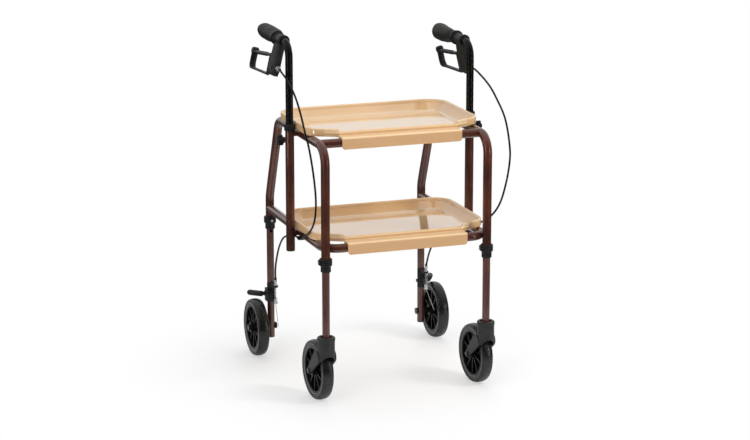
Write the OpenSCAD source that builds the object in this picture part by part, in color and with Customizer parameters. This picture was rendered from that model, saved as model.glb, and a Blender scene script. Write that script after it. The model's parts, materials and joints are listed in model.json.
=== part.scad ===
// Indoor trolley walker: a bent-tube frame on two swivel casters and two braked wheels, with two
// lift-off trays and two height-adjustable handles with loop brake levers.
// The front faces -Y, the user stands at +Y, and the floor is z = 0.

/* [Frame] */
// Distance between the axes of the left and right legs
track = 425; // [400:1:450]
// Distance between the axes of the front and rear legs
wheelbase = 466; // [440:1:490]
// Outside diameter of the frame tubes
tube_d = 22.2; // [21:0.1:24]
// Wall of the frame tubes
tube_wall = 1.4; // [1.1:0.1:1.6]
// Radial play of a tube that slides inside a frame tube
slide_play = 0.2; // [0.1:0.05:0.3]
// Wall of the tubes that slide inside the frame tubes
inner_wall = 1.2; // [1:0.1:2]
// Height of the top rails' axes
rail_z = 652; // [620:1:680]
// Height of the lower rail's axis
lower_rail_z = 397; // [380:1:420]
// Bend radius from a front leg into its top rail
front_bend_r = 46; // [36:1:46]
// Bend radius from a top rail into its leaning rear leg
rear_bend_r = 40; // [30:1:50]
// Lean of a rear leg above its kink, in degrees
rear_lean = 22; // [16:1:26]
// Height of a rear leg's kink above the lower rail
kink_rise = 33; // [30:1:45]
// Bend radius of a rear leg's kink
kink_r = 60; // [40:1:80]
// Bend radius of the lower rail's front corners
lower_bend_r = 43; // [36:1:55]
// Distance from the front legs back to the front crossbar
crossbar_back = 47; // [46:1:60]
// Distance from the lower rail's axis down to the end of the frame's legs
leg_joint_drop = 47; // [42:1:55]

/* [Legs] */
// Distance between the height holes of a leg
leg_notch = 30; // [26:1:36]
// Height of a snap button above the end of the frame's leg
button_rise = 17; // [14:1:20]
// Diameter of a snap button
button_d = 7; // [6:0.5:8]
// Diameter of a leg collar's upper ring
collar_d = 32; // [30:0.5:36]
// Diameter of a leg collar's skirt
skirt_d = 25.6; // [25.2:0.2:27]

/* [Handles] */
// Distance from a leg's plane out to the handle post's axis
post_out = 28.7; // [26:0.1:34]
// Distance from the front legs back to the handle posts
post_back = 194.5; // [180:0.5:210]
// Height of a post's top above the top rail's axis
post_above = 15; // [14:1:30]
// Distance from the lower rail's axis down to a post's bottom end
post_below = 44; // [25:1:60]
// Height of a grip's axis above the top rail at the lowest notch
handle_rise = 151; // [146:1:166]
// Distance between the height notches of a handle
handle_notch = 25; // [20:1:30]
// Notch that the user's right handle stands at
right_notch = 3; // [0:1:5]
// Notch that the user's left handle stands at
left_notch = 2; // [0:1:5]
// Bend radius of a handle tube
handle_bend_r = 36; // [32:1:45]
// Length of a grip
grip_length = 137; // [120:1:150]
// Largest diameter of a grip, at its rear end
grip_d = 41; // [36:1:44]
// Diameter of a clamp knob over its lobes
knob_d = 28; // [24:1:34]

/* [Brakes] */
// Outward tilt of a brake housing about the grip's axis, in degrees
brake_tilt = 13; // [0:1:16]
// Width of a brake housing
housing_w = 21; // [20:0.5:26]
// Depth of a brake housing below the grip's axis
housing_drop = 91; // [90:1:100]
// Length of a brake housing's clamp sleeve
sleeve_length = 52; // [46:1:58]
// Thickness of a brake lever's bars across the lever
lever_w = 10; // [8:0.5:11]
// Width of a brake lever's rear bar
lever_pad_w = 16; // [12:0.5:20]
// Diameter of the outer brake cable
cable_d = 5; // [4:0.1:5]
// Gap between a brake shoe's inner end and its tyre with the brake off
shoe_gap = 5.8; // [5.6:0.1:7]
// Diameter of a brake shoe
shoe_d = 15; // [12:0.5:16]
// Diameter of a return spring
spring_d = 7; // [6:0.2:8]
// Wire of a return spring
spring_wire = 0.9; // [0.7:0.1:1.1]
// Number of curls of a return spring
spring_curls = 8; // [5:1:9]

/* [Wheels] */
// Diameter of all four wheels
wheel_d = 152; // [140:1:160]
// Width of a tyre
tyre_w = 30; // [26:1:34]
// Radial height of a tyre
tyre_h = 18; // [14:1:20]
// Distance from a rear leg's axis out to its wheel's middle
wheel_out = 40.7; // [40:0.1:46]
// Distance that a caster wheel trails behind its stem
caster_trail = 57; // [50:1:60]
// Turn of both casters about their stems, in degrees
caster_yaw = 3.5; // [0:0.5:8]
// Diameter of a caster fork's socket
socket_d = 45; // [42:0.5:50]
// Height of a caster fork's top above its wheel
socket_rise = 24; // [22:1:34]
// Diameter of the wheel axles
axle_d = 10; // [8:0.5:12]
// Number of ribs in a wheel hub
hub_ribs = 10; // [6:1:14]

/* [Trays] */
// Distance that a tray's rim reaches out past the rail's axis
tray_over = 14.5; // [13:0.5:15]
// Distance from a tray's front bar back to its rear rim
tray_depth = 314; // [280:1:330]
// Height of a tray's rim above the rail's axis
tray_rim = 31.5; // [28:0.5:36]
// Height of a tray's front rim above the rail's axis
tray_front_rim = 21; // [19:0.5:24]
// Width of a tray's front lip
lip_w = 314; // [260:1:320]
// Distance that a tray's front lip reaches below the rail's axis
lip_drop = 15; // [10:1:20]
// Wall of a tray
tray_wall = 3; // [2.5:0.1:3.5]

/* [Hidden] */
$fn = 48;
// Gap kept between curved pieces that move past each other
clear = 0.3;
// Radial play of a pin or a shaft that turns in its bore
pin_play = 0.05;
// A bend is drawn a hair thinner than its tube, and the straight runs lap into it
bend_draw = 0.04;
bend_lap = 0.5;

inner_d = tube_d - 2 * tube_wall - 2 * slide_play;
tube_bore = tube_d - 2 * tube_wall;
inner_bore = inner_d - 2 * inner_wall;
wheel_r = wheel_d / 2;

// The origin lies midway between the caster sockets' fronts and the rear tyres' backs
y_mid = (wheel_r - socket_d / 2) / 2;
front_y = -wheelbase / 2 - y_mid;
rear_y = wheelbase / 2 - y_mid;
leg_x = track / 2;
post_x = leg_x + post_out;
post_y = front_y + post_back;

leg_end_z = lower_rail_z - leg_joint_drop;
button_z = leg_end_z + button_rise;
button_bore = button_d + 2 * clear;
// The front legs' buttons face the user's right, and the rear legs' buttons face forward
front_button_way = 180;
rear_button_way = -90;
post_top_z = rail_z + post_above;
post_end_z = lower_rail_z - post_below;
crossbar_y = front_y + crossbar_back;
// The lower rail's corners bite a little into the front legs, where they are welded
weld_bite = 0.6;
corner_reach = lower_bend_r + tube_d - weld_bite;
lower_bar_y = front_y + sqrt(corner_reach * corner_reach - lower_bend_r * lower_bend_r) - lower_bend_r;

// Lengths of the straight runs of a side frame, from its bends
rear_turn = 90 - rear_lean;
kink_end_z = lower_rail_z + kink_rise - kink_r * tan(rear_lean / 2);
lean_drop = rail_z - rear_bend_r * (1 - cos(rear_turn)) - kink_r * cos(rear_turn) - kink_end_z;
lean_run = lean_drop / sin(rear_turn);
rail_end_y = rear_y - rear_bend_r * sin(rear_turn) - lean_run * cos(rear_turn)
    - kink_r * (1 - sin(rear_turn));
side_path = [
    [rail_z - front_bend_r - leg_end_z, 90, front_bend_r],
    [rail_end_y - front_y - front_bend_r, rear_turn, rear_bend_r],
    [lean_run, rear_lean, kink_r],
    [kink_end_z - leg_end_z, 0, 0]
];

// Handles
handle_low_z = rail_z + handle_rise;
// Height of a handle tube's lower end above its post's, at the lowest notch
handle_end_rise = 17;
handle_down = handle_low_z - handle_bend_r - post_end_z - handle_end_rise;
// Depth of a handle tube's end inside its grip's end
grip_cap = 12;
knob_drop = 15;
knob_z = rail_z - knob_drop;
boss_d = 15;
boss_l = 5;
stud_d = 8;
// Along a grip's axis from its post: the brake housing's sleeve, then the grip
sleeve_gap = 4;
sleeve_start = handle_bend_r + sleeve_gap;
sleeve_end = sleeve_start + sleeve_length;
grip_start = sleeve_end + 1;
handle_reach = grip_start + grip_length;
body_front = sleeve_start + 6;
body_back = sleeve_end + 12;
// Brake housings: places along the grip's axis, and drops below it
pivot_y = body_front + 17;
pivot_drop = 71;
pin_d = 5;
adjuster_drop = 70;
adjuster_tip = body_front - 16;
adjuster_d = 7;
// Corners of the lever's finger loop, and their drops below the grip's axis
loop_front = body_back + 8;
loop_back = handle_reach + 18;
front_top_drop = 46;
front_low_drop = 95;
rear_top_drop = 60;
rear_low_drop = 101;

// Rear brakes, from a rear leg's axis: out is away from the walker, forward is -Y
// A shoe runs back and outward over its tyre, and its rear end stands twice as clear of it
shoe_from = [wheel_out - tyre_w / 2, 4];
shoe_to = [wheel_out + 4, 46];
function shoe_z(back, gap) = wheel_r + sqrt(pow(wheel_r + gap + shoe_d / 2, 2) - back * back);
bracket_wall = 3.5;
saddle_r = inner_d / 2 + bracket_wall;
arm_pivot_y = -22;
arm_pivot_z = wheel_d + 18;
arm_shaft_d = 8;
arm_boss = [2, saddle_r];
arm_plate = 4.5;
anchor_x = arm_boss[0] - clear - arm_plate / 2;
anchor_y = -42;
anchor_d = 9;
anchor_low_z = arm_pivot_z - 19;
anchor_top_z = arm_pivot_z - 9;
anchor_mid_z = (anchor_low_z + anchor_top_z) / 2;
lug_z = anchor_top_z + 36;
lug_t = 5;
lower_adjuster_top = lug_z + 15;
bracket_low_z = arm_pivot_z - 25;
bracket_bolt_z = arm_pivot_z - 8;
bolt_d = 5;
spring_low = anchor_top_z + clear + spring_wire / 2;
spring_high = lug_z - lug_t - clear - spring_wire / 2;
curl_rings = 8;
spring_rings = curl_rings * spring_curls;

// Casters, from a stem's axis
fork_top_z = wheel_d + socket_rise;
stem_end_z = fork_top_z - 38;
socket_low_z = wheel_d - 36;
side_gap = 3.5;
blade_t = 6;
blade_in = tyre_w / 2 + side_gap;
fork_well_r = wheel_r + 4;

// Trays
tray_half = leg_x + tray_over;
tray_front = 15;

// Brake cable routes: points out from the legs, back from the posts and up from the lower rail
clip_at = [leg_x + 14.5, post_y - 24.75, lower_rail_z - 9];
upper_end = [[14.5, -38.75, -7.8], [14.5, -31.75, -9]];
right_upper_run = concat([[46.5, 3.25, 409], [44.5, -36.75, 396], [38.5, -74.75, 367],
    [32.5, -101.75, 326], [27.5, -121.75, 281], [23.5, -139.75, 246], [19.5, -159.75, 188],
    [17.5, -172.75, 130], [17.5, -170.75, 89], [18.5, -155.75, 55], [18.5, -114.75, 24],
    [15.5, -61.75, 3]], upper_end);
left_upper_run = concat([[48.5, 3.25, 383], [53.5, -69.75, 358], [55.5, -117.75, 329],
    [58.5, -166.75, 288], [59.5, -194.75, 221], [57.5, -197.75, 182], [51.5, -193.75, 135],
    [41.5, -179.75, 78], [27.5, -154.75, 40], [16.5, -104.75, 11], [14.5, -61.75, 1]], upper_end);
lower_run = [[14.5, 0.25, -10], [14.5, 35.25, -17], [13.5, 105.25, -37]];
// The lower cables' last points lie back from the rear legs
lower_fall = [[9.5, -112.25, -75], [5.5, -77.25, -112], [2.5, -51.25, -152]];
function placed(run, y) = [for (p = run) [leg_x + p[0], y + p[1], lower_rail_z + p[2]]];

bronze = [0.26, 0.12, 0.09];
black = [0.09, 0.09, 0.1];
rubber = [0.16, 0.16, 0.16];
silver = [0.75, 0.75, 0.76];
tan = [0.85, 0.68, 0.5];

// Places

// Draws a left-hand piece on its own side, or its mirror image on the right
module on_side(side) {
    if (side > 0) children();
    else mirror([1, 0, 0]) children();
}

function handle_z(side) = handle_low_z + handle_notch * (side > 0 ? left_notch : right_notch);

// The grip's axis above the post, where a handle turns from vertical to level
module at_handle(side)
    on_side(side) translate([post_x, post_y, handle_z(side)]) children();

// The same place, tilted outward as the brake is
module at_brake(side)
    at_handle(side) rotate([0, -brake_tilt, 0]) children();

module at_rear_leg(side)
    on_side(side) translate([leg_x, rear_y, 0]) children();

// A caster's stem, turned to the way that the caster points
module at_caster(side)
    translate([side * leg_x, front_y, 0]) rotate([0, 0, caster_yaw]) children();

// Tubes

// A round bend that leaves the origin along +Z and turns towards +Y
module bend(r, angle, d)
    translate([0, r, 0]) rotate([90, 0, -90])
        rotate_extrude(angle = angle) translate([r, 0]) circle(d = d);

// A bent bar: each step is a straight length, then a turn towards +Y and its radius
module bent_bar(steps, d, i = 0) {
    run = steps[i][0];
    turn = steps[i][1];
    r = steps[i][2];
    back = i == 0 ? 0 : bend_lap;
    ahead = turn > 0 ? bend_lap : 0;
    translate([0, 0, -back]) cylinder(d = d, h = run + back + ahead);
    if (turn > 0) translate([0, 0, run]) bend(r, turn, d - bend_draw);
    if (i + 1 < len(steps))
        translate([0, r * (1 - cos(turn)), run + r * sin(turn)]) rotate([-turn, 0, 0])
            bent_bar(steps, d, i + 1);
}

// A path with its first and last straight runs a little longer, for a bore that runs right through
function past_ends(steps) = [for (i = [0:len(steps) - 1])
    let (s = steps[i])
    [s[0] + (i == 0 || i == len(steps) - 1 ? 1 : 0), s[1], s[2]]];

module bent_tube(steps, d, bore) {
    difference() {
        bent_bar(steps, d);
        translate([0, 0, -1]) bent_bar(past_ends(steps), bore);
    }
}

module at_side_path()
    translate([leg_x, front_y, leg_end_z]) children();

// A cylinder along +X
module rod_x(d, from, to)
    translate([from, 0, 0]) rotate([0, 90, 0]) cylinder(d = d, h = to - from);

// A cylinder along +Y
module rod_y(d, from, to)
    translate([0, from, 0]) rotate([-90, 0, 0]) cylinder(d = d, h = to - from);

// A cylinder along +Z
module rod_z(d, from, to)
    translate([0, 0, from]) cylinder(d = d, h = to - from);

// Frame

// The hole that a snap button stands out of, along +X
module button_hole(d) rod_x(d, 0, collar_d);

// A side frame: front leg, top rail and rear leg bent from one tube
module side_frame(side) color(bronze) {
    difference() {
        on_side(side) at_side_path() bent_tube(side_path, tube_d, tube_bore);
        translate([side * leg_x, front_y, button_z]) rotate([0, 0, front_button_way])
            button_hole(button_bore);
        translate([side * leg_x, rear_y, button_z]) rotate([0, 0, rear_button_way])
            button_hole(button_bore);
    }
}

// The lower rail: one tube bent to a U, coped onto the legs
module lower_rail() color(bronze) {
    side_run = rear_y - lower_bar_y - lower_bend_r;
    path = [
        [side_run, 90, lower_bend_r],
        [track - 2 * lower_bend_r, 90, lower_bend_r],
        [side_run, 0, 0]
    ];
    difference() {
        translate([-leg_x, rear_y, lower_rail_z]) rotate([90, 90, 0])
            bent_tube(path, tube_d, tube_bore);
        for (x = [-leg_x, leg_x], y = [front_y, rear_y])
            translate([x, y, 0]) rod_z(tube_d, leg_end_z, kink_end_z);
    }
}

// The straight bar between the top rails, coped onto them
module front_crossbar() color(bronze) {
    difference() {
        translate([0, crossbar_y, rail_z]) rod_x(tube_d, -leg_x, leg_x);
        translate([0, crossbar_y, rail_z]) rod_x(tube_bore, -leg_x - 1, leg_x + 1);
        for (side = [-1, 1]) on_side(side) at_side_path() bent_bar(side_path, tube_d);
    }
}

// The posts that hold the handles, with the welded spacers and the clamp nuts
module handle_posts() color(bronze) {
    for (side = [-1, 1]) on_side(side) difference() {
        union() {
            translate([post_x, post_y, 0]) rod_z(tube_d, post_end_z, post_top_z);
            translate([post_x, post_y, knob_z]) rod_x(boss_d, 0, tube_d / 2 + boss_l);
            for (z = [lower_rail_z, rail_z])
                translate([leg_x, post_y - tube_d * 0.4, z - tube_d * 0.25])
                    cube([post_out, tube_d * 0.8, tube_d * 0.5]);
        }
        translate([post_x, post_y, 0]) rod_z(tube_bore, post_end_z - 1, post_top_z + 1);
        translate([post_x, post_y, knob_z]) rod_x(stud_d + 2 * pin_play, 0, tube_d);
        for (z = [lower_rail_z, rail_z])
            translate([leg_x, post_y, z]) rod_y(tube_d, -tube_d, tube_d);
    }
}

// A collar's section: a ring round the frame tube over a skirt round the sliding tube
module leg_collar_section() {
    skirt_low = -8;
    step_z = 8;
    top_z = 26;
    sliding_r = inner_d / 2 + slide_play;
    polygon([[sliding_r, skirt_low], [skirt_d / 2 - 1, skirt_low], [skirt_d / 2, skirt_low + 1],
        [skirt_d / 2, step_z - 1], [collar_d / 2 - 1.5, step_z], [collar_d / 2, step_z + 1.5],
        [collar_d / 2, top_z - 1.5], [collar_d / 2 - 1.5, top_z], [tube_d / 2, top_z],
        [tube_d / 2, 0], [sliding_r, 0]]);
}

module leg_collar() {
    lug_w = 12;
    difference() {
        union() {
            rotate_extrude() leg_collar_section();
            translate([tube_d / 2 + 1, -lug_w / 2, button_rise - lug_w / 2])
                cube([collar_d / 2 - tube_d / 2 + 1.5, lug_w, lug_w]);
        }
        translate([0, 0, button_rise]) button_hole(button_d);
    }
}

// The black collars at the four leg joints and on the two posts
module tube_collars() color(black) {
    for (side = [-1, 1]) {
        translate([side * leg_x, front_y, leg_end_z]) rotate([0, 0, front_button_way]) leg_collar();
        translate([side * leg_x, rear_y, leg_end_z]) rotate([0, 0, rear_button_way]) leg_collar();
        translate([side * post_x, post_y, post_top_z]) rotate_extrude()
            polygon([[tube_d / 2, -7], [tube_d / 2 + 2, -7], [tube_d / 2 + 2.6, -5],
                [tube_d / 2 + 2.6, 8], [tube_d / 2 + 1, 10], [inner_d / 2 + slide_play, 10],
                [inner_d / 2 + slide_play, 0], [tube_d / 2, 0]]);
    }
}

// The clips that hold the cables against the lower rail
module cable_clips() color(black) {
    clip_l = 10;
    clip_d = cable_d + 4;
    for (side = [-1, 1]) on_side(side) translate([0, clip_at[1] - clip_l / 2, 0]) difference() {
        union() {
            translate([clip_at[0], 0, clip_at[2]]) rod_y(clip_d, 0, clip_l);
            translate([leg_x, 0, clip_at[2] - clip_d / 2]) cube([clip_at[0] - leg_x, clip_l, clip_d]);
        }
        translate([leg_x, 0, lower_rail_z]) rod_y(tube_d, -1, clip_l + 1);
        translate([clip_at[0], 0, clip_at[2]]) rod_y(cable_d + 2 * clear, -1, clip_l + 1);
    }
}

// Trays

// Corners of a tray's rim, from its front bar's middle: x, y and radius
tray_corners = [[lip_w / 2 + 2, tray_front, 44], [tray_half, tray_front + 36, 44],
    [tray_half, tray_depth, 54]];
tray_outline = concat(tray_corners, [for (i = [len(tray_corners) - 1:-1:0])
    let (c = tray_corners[i])
    [-c[0], c[1], c[2]]]);
corner_steps = 6;

function unit(v) = v / norm(v);
// The inward normal of the outline's edge that starts at corner i
function edge_normal(i) =
    let (n = len(tray_outline),
        a = tray_outline[i % n],
        b = tray_outline[(i + 1) % n],
        t = unit([b[0] - a[0], b[1] - a[1]]))
    [-t[1], t[0]];

// The rim's outline moved inward, with the corners' centres kept
function tray_ring(inset, z) = [
    for (i = [0:len(tray_outline) - 1])
        let (c = tray_outline[i],
            n1 = edge_normal(i + len(tray_outline) - 1),
            n2 = edge_normal(i),
            middle = [c[0], c[1]] + (n1 + n2) * c[2] / (1 + n1 * n2))
        for (k = [0:corner_steps])
            let (d = unit(n1 + (n2 - n1) * k / corner_steps))
            [middle[0] - (c[2] - inset) * d[0], middle[1] - (c[2] - inset) * d[1], z]
];

// Rings of points joined into one closed solid
module loft(rings) {
    n = len(rings[0]);
    m = len(rings);
    points = [for (r = rings, p = r) p];
    sides = [for (j = [0:m - 2], i = [0:n - 1])
        let (a = j * n + i, b = j * n + (i + 1) % n)
        each [[a, a + n, b], [b, a + n, b + n]]];
    polyhedron(points, concat(sides, [[for (i = [0:n - 1]) i]],
        [[for (i = [n - 1:-1:0]) (m - 1) * n + i]]), convexity = 4);
}

// The dish of a tray: its walls slope over the rails, 0.3 mm clear of them
module tray_dish() {
    floor_inset = tray_over + 16.5;
    wall_slope = 13 / 24;
    floor_low = (tube_d / 2 + clear) * sqrt(1 + wall_slope * wall_slope) - 16.5 * wall_slope + 0.2;
    rim_low = floor_low + floor_inset * wall_slope;
    rim_w = 4;
    loft([
        tray_ring(floor_inset, floor_low),
        tray_ring(0, rim_low),
        tray_ring(0, tray_rim - 1.5),
        tray_ring(1.5, tray_rim),
        tray_ring(rim_w, tray_rim),
        tray_ring(rim_w + 2, tray_rim - 2),
        tray_ring(rim_w + 4, rim_low + tray_wall),
        tray_ring(floor_inset, floor_low + tray_wall + 1.5),
        tray_ring(floor_inset + 5, floor_low + tray_wall)
    ]);
}

// The lip's section, round the bar that carries it; x here is forward
module lip_section() {
    bar_r = tube_d / 2 + clear;
    front = bar_r + tray_wall;
    top = bar_r + tray_wall;
    edge_r = 4;
    difference() {
        union() {
            translate([-tray_front - 1, 0]) square([tray_front + 1 + front - edge_r, top]);
            translate([front - edge_r, top - edge_r]) circle(r = edge_r);
            translate([0, -lip_drop]) square([front, lip_drop + top - edge_r]);
            translate([-tray_front - tray_wall - 1, top - tray_wall])
                square([tray_wall + 1, tray_front_rim - 1 - top + tray_wall]);
        }
        circle(r = bar_r);
        translate([-bar_r, -lip_drop - 1]) square([2 * bar_r, lip_drop + 1]);
        translate([-tray_front - 2, -lip_drop - 1]) square([tray_front + 2 - bar_r, lip_drop + 3]);
    }
}

// A tray, from its front bar's middle
module tray() {
    lip_corner = 8;
    difference() {
        tray_dish();
        translate([-lip_w / 2, tray_front - 5, tray_front_rim]) cube([lip_w, 15, tray_rim]);
    }
    intersection() {
        translate([-lip_w / 2, 0, 0]) rotate([90, 0, 90]) mirror([1, 0, 0])
            linear_extrude(lip_w) lip_section();
        rotate([90, 0, 0]) linear_extrude(4 * tube_d, center = true) translate([-lip_w / 2, -lip_drop])
            offset(r = lip_corner) offset(delta = -lip_corner) square([lip_w, 2 * tray_rim]);
    }
}

module upper_tray() color(tan) translate([0, crossbar_y, rail_z]) tray();

module lower_tray() color(tan) translate([0, lower_bar_y, lower_rail_z]) tray();

// Handles

module handle_tube(side) color(black) {
    level = handle_reach - handle_bend_r - grip_cap;
    at_handle(side) translate([0, 0, -handle_bend_r - handle_down])
        bent_tube([[handle_down, 90, handle_bend_r], [level, 0, 0]], inner_d, inner_bore);
}

// A grip's radius along its length: a flange, a palm swell and a fat rounded end
function grip_radius(t) = grip_d / 2 * (
    t < 0.03 ? 0.84 :
    t < 0.06 ? 0.84 - 0.12 * (t - 0.03) / 0.03 :
    t < 0.86 ? 0.72 + 0.05 * sin(180 * (t - 0.06) / 0.5) + 0.26 * pow((t - 0.06) / 0.8, 2) :
    0.98 * pow(cos(80 * (t - 0.86) / 0.14), 0.35));

module grip(side) color(rubber) {
    sides = 24;
    stops = [0, 0.03, 0.06, 0.16, 0.28, 0.4, 0.52, 0.64, 0.76, 0.86, 0.93, 0.975, 1];
    at_handle(side) difference() {
        loft([for (t = stops) [for (k = [0:sides - 1])
            let (r = grip_radius(t), a = -360 * k / sides)
            [r * 0.92 * cos(a), grip_start + grip_length * t, r * sin(a)]]]);
        rod_y(inner_d, grip_start - 1, handle_reach - grip_cap);
    }
}

// A brake housing: a clamp sleeve on the handle, over a slotted body for the lever
module brake_housing(side) color(black) {
    sleeve_d = inner_d + 6.4;
    flange_d = sleeve_d + 4;
    flange_l = 4;
    corner_r = 8;
    slot_top = 35;
    at_brake(side) difference() {
        union() {
            rod_y(sleeve_d, sleeve_start, sleeve_end);
            rod_y(flange_d, sleeve_start, sleeve_start + flange_l);
            rod_y(flange_d, sleeve_end - flange_l, sleeve_end);
            hull() {
                translate([-housing_w / 2, body_front, -sleeve_d / 2])
                    cube([housing_w, sleeve_end - flange_l - body_front, 4]);
                for (y = [body_front + corner_r, body_back - corner_r])
                    translate([0, y, -housing_drop + corner_r]) rotate([0, 90, 0])
                        cylinder(r = corner_r, h = housing_w, center = true, $fn = 32);
            }
        }
        rod_y(inner_d, sleeve_start - 1, sleeve_end + 1);
        translate([-lever_w / 2 - 0.5, pivot_y - 11, -housing_drop - 1])
            cube([lever_w + 1, body_back, housing_drop + 1 - slot_top]);
        translate([0, pivot_y, -pivot_drop]) rod_x(pin_d, -housing_w, housing_w);
        translate([0, 0, -adjuster_drop]) rod_y(adjuster_d, adjuster_tip, pivot_y - 12);
    }
}

module lever_pin(side) color(silver)
    at_brake(side) translate([0, pivot_y, -pivot_drop]) {
        rod_x(pin_d, -housing_w / 2, housing_w / 2);
        rod_x(pin_d + 4, housing_w / 2, housing_w / 2 + 1.5);
    }

// The barrel adjuster that the upper cable enters
module cable_adjuster(side) color(silver) {
    at_brake(side) translate([0, 0, -adjuster_drop]) difference() {
        union() {
            rod_y(adjuster_d, adjuster_tip, pivot_y - 12);
            rod_y(adjuster_d + 4, adjuster_tip + 6, adjuster_tip + 12);
        }
        rod_y(2.4, adjuster_tip - 1, pivot_y);
    }
}

// A straight bar with round ends in the lever's plane; x is rearward and y is up
module lever_bar(a, b, w) {
    d = b - a;
    for (p = [a, b]) translate(p) circle(d = w);
    translate(a) rotate(atan2(d[1], d[0])) translate([0, -w / 2]) square([norm(d), w]);
}

// A loop lever: hub, bumped front bar, ribbed top bar, wide rear bar, thin bottom bar and a thumb
// knob. The points are along the grip's axis and below it
module brake_lever(side) color(black) {
    hub = [pivot_y, -pivot_drop];
    front_top = [loop_front, -front_top_drop];
    front_low = [loop_front, -front_low_drop];
    rear_top = [loop_back, -rear_top_drop];
    rear_low = [loop_back, -rear_low_drop];
    ribs = 9;
    bumps = 4;
    at_brake(side) difference() {
        union() {
            rotate([90, 0, 90]) linear_extrude(lever_w, center = true) {
                translate(hub) circle(d = 17);
                lever_bar(hub, front_top, 9);
                lever_bar(hub, front_low, 9);
                lever_bar(front_top, front_low, 8);
                lever_bar(front_top, rear_top, 8);
                lever_bar(front_low, rear_low, 5);
                for (k = [1:ribs])
                    translate(front_top + (rear_top - front_top) * (0.25 + 0.06 * k))
                        circle(d = 10);
                for (k = [1:bumps])
                    translate(front_top + (front_low - front_top) * k / (bumps + 1) + [2.5, 0])
                        circle(d = 7);
            }
            rotate([90, 0, 90]) linear_extrude(lever_pad_w, center = true)
                lever_bar(rear_top, rear_low, 8);
            translate([0, rear_top[0], rear_top[1] + 2])
                rod_x(15, -lever_pad_w / 2, lever_pad_w / 2);
        }
        translate([0, hub[0], hub[1]]) rod_x(pin_d + 2 * pin_play, -lever_w, lever_w);
    }
}

// A clamp knob with lobes and the stud that presses on the handle tube
module clamp_knob(side) color(black) {
    lobes = 5;
    head_from = tube_d / 2 + boss_l + 0.5;
    head_l = 14;
    on_side(side) translate([post_x, post_y, knob_z]) {
        rod_x(stud_d, inner_d / 2 + clear + 0.6, head_from + 1);
        rod_x(knob_d * 0.62, head_from, head_from + head_l);
        for (k = [0:lobes - 1]) rotate([360 * k / lobes, 0, 0])
            translate([0, 0, knob_d * 0.32]) rod_x(knob_d * 0.36, head_from + 3, head_from + head_l - 1);
    }
}

// Cables

// A smooth curve through a route's points, each span cut into equal steps
function curve(p, steps) = concat([
    for (i = [0:len(p) - 2], k = [0:steps - 1])
        let (a = p[max(i - 1, 0)],
            b = p[i],
            c = p[i + 1],
            d = p[min(i + 2, len(p) - 1)],
            t = k / steps)
        0.5 * (2 * b + (c - a) * t + (2 * a - 5 * b + 4 * c - d) * t * t
            + (3 * b - a - 3 * c + d) * t * t * t)
], [p[len(p) - 1]]);

// A tube swept along a curve that never runs straight along X; its end faces take the given ways
module cord(p, d, first_way, last_way) {
    sides = 8;
    last = len(p) - 1;
    loft([for (i = [0:last])
        let (t = i == 0 ? first_way : i == last ? last_way : unit(p[i + 1] - p[i - 1]),
            u = unit(cross(t, [1, 0, 0])),
            v = cross(t, u))
        [for (k = [0:sides - 1])
            let (a = 360 * k / sides)
            p[i] + d / 2 * (cos(a) * u - sin(a) * v)]]);
}

// The point where a cable leaves its adjuster on the brake housing
function cable_exit(side) = [
    side * (post_x + adjuster_drop * sin(brake_tilt)),
    post_y + adjuster_tip,
    handle_z(side) - adjuster_drop * cos(brake_tilt)
];

function side_point(side, p) = [side * p[0], p[1], p[2]];

module upper_cable(side) color(black) {
    route = concat(placed(side > 0 ? left_upper_run : right_upper_run, post_y), [clip_at]);
    cord(curve(concat([cable_exit(side)], [for (p = route) side_point(side, p)]), 2), cable_d,
        [0, -1, 0], [0, 1, 0]);
}

module lower_cable(side) color(black) {
    foot = [leg_x + anchor_x, rear_y + anchor_y, lower_adjuster_top];
    points = concat([clip_at], placed(lower_run, post_y), placed(lower_fall, rear_y), [foot]);
    cord(curve([for (p = points) side_point(side, p)], 2), cable_d, [0, 1, 0], [0, 0, -1]);
}

// Rear legs and brakes

// The holes for a snap button, at the notch in use and one on each side of it
module button_holes() {
    for (k = [-1:1]) translate([0, 0, button_z + k * leg_notch]) button_hole(button_bore);
}

module rear_leg(side) color(bronze) {
    leg_low = wheel_r - 29;
    leg_top = kink_end_z - 6;
    at_rear_leg(side) difference() {
        rod_z(inner_d, leg_low, leg_top);
        rod_z(inner_bore, leg_low - 1, leg_top + 1);
        rotate([0, 0, rear_button_way]) button_holes();
        translate([0, 0, wheel_r]) rod_x(axle_d, -inner_d, inner_d);
        translate([0, 0, bracket_bolt_z]) rod_x(bolt_d, -inner_d, inner_d);
    }
}

// A snap button: a pin that sits in its collar and reaches through the frame's tube into the leg
module snap_button() color(silver)
    rod_x(button_d, inner_bore / 2 - 1, tube_d / 2 + (collar_d - tube_d) / 2 + 3.5);

module rear_button(side)
    translate([side * leg_x, rear_y, button_z]) rotate([0, 0, rear_button_way]) snap_button();

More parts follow.
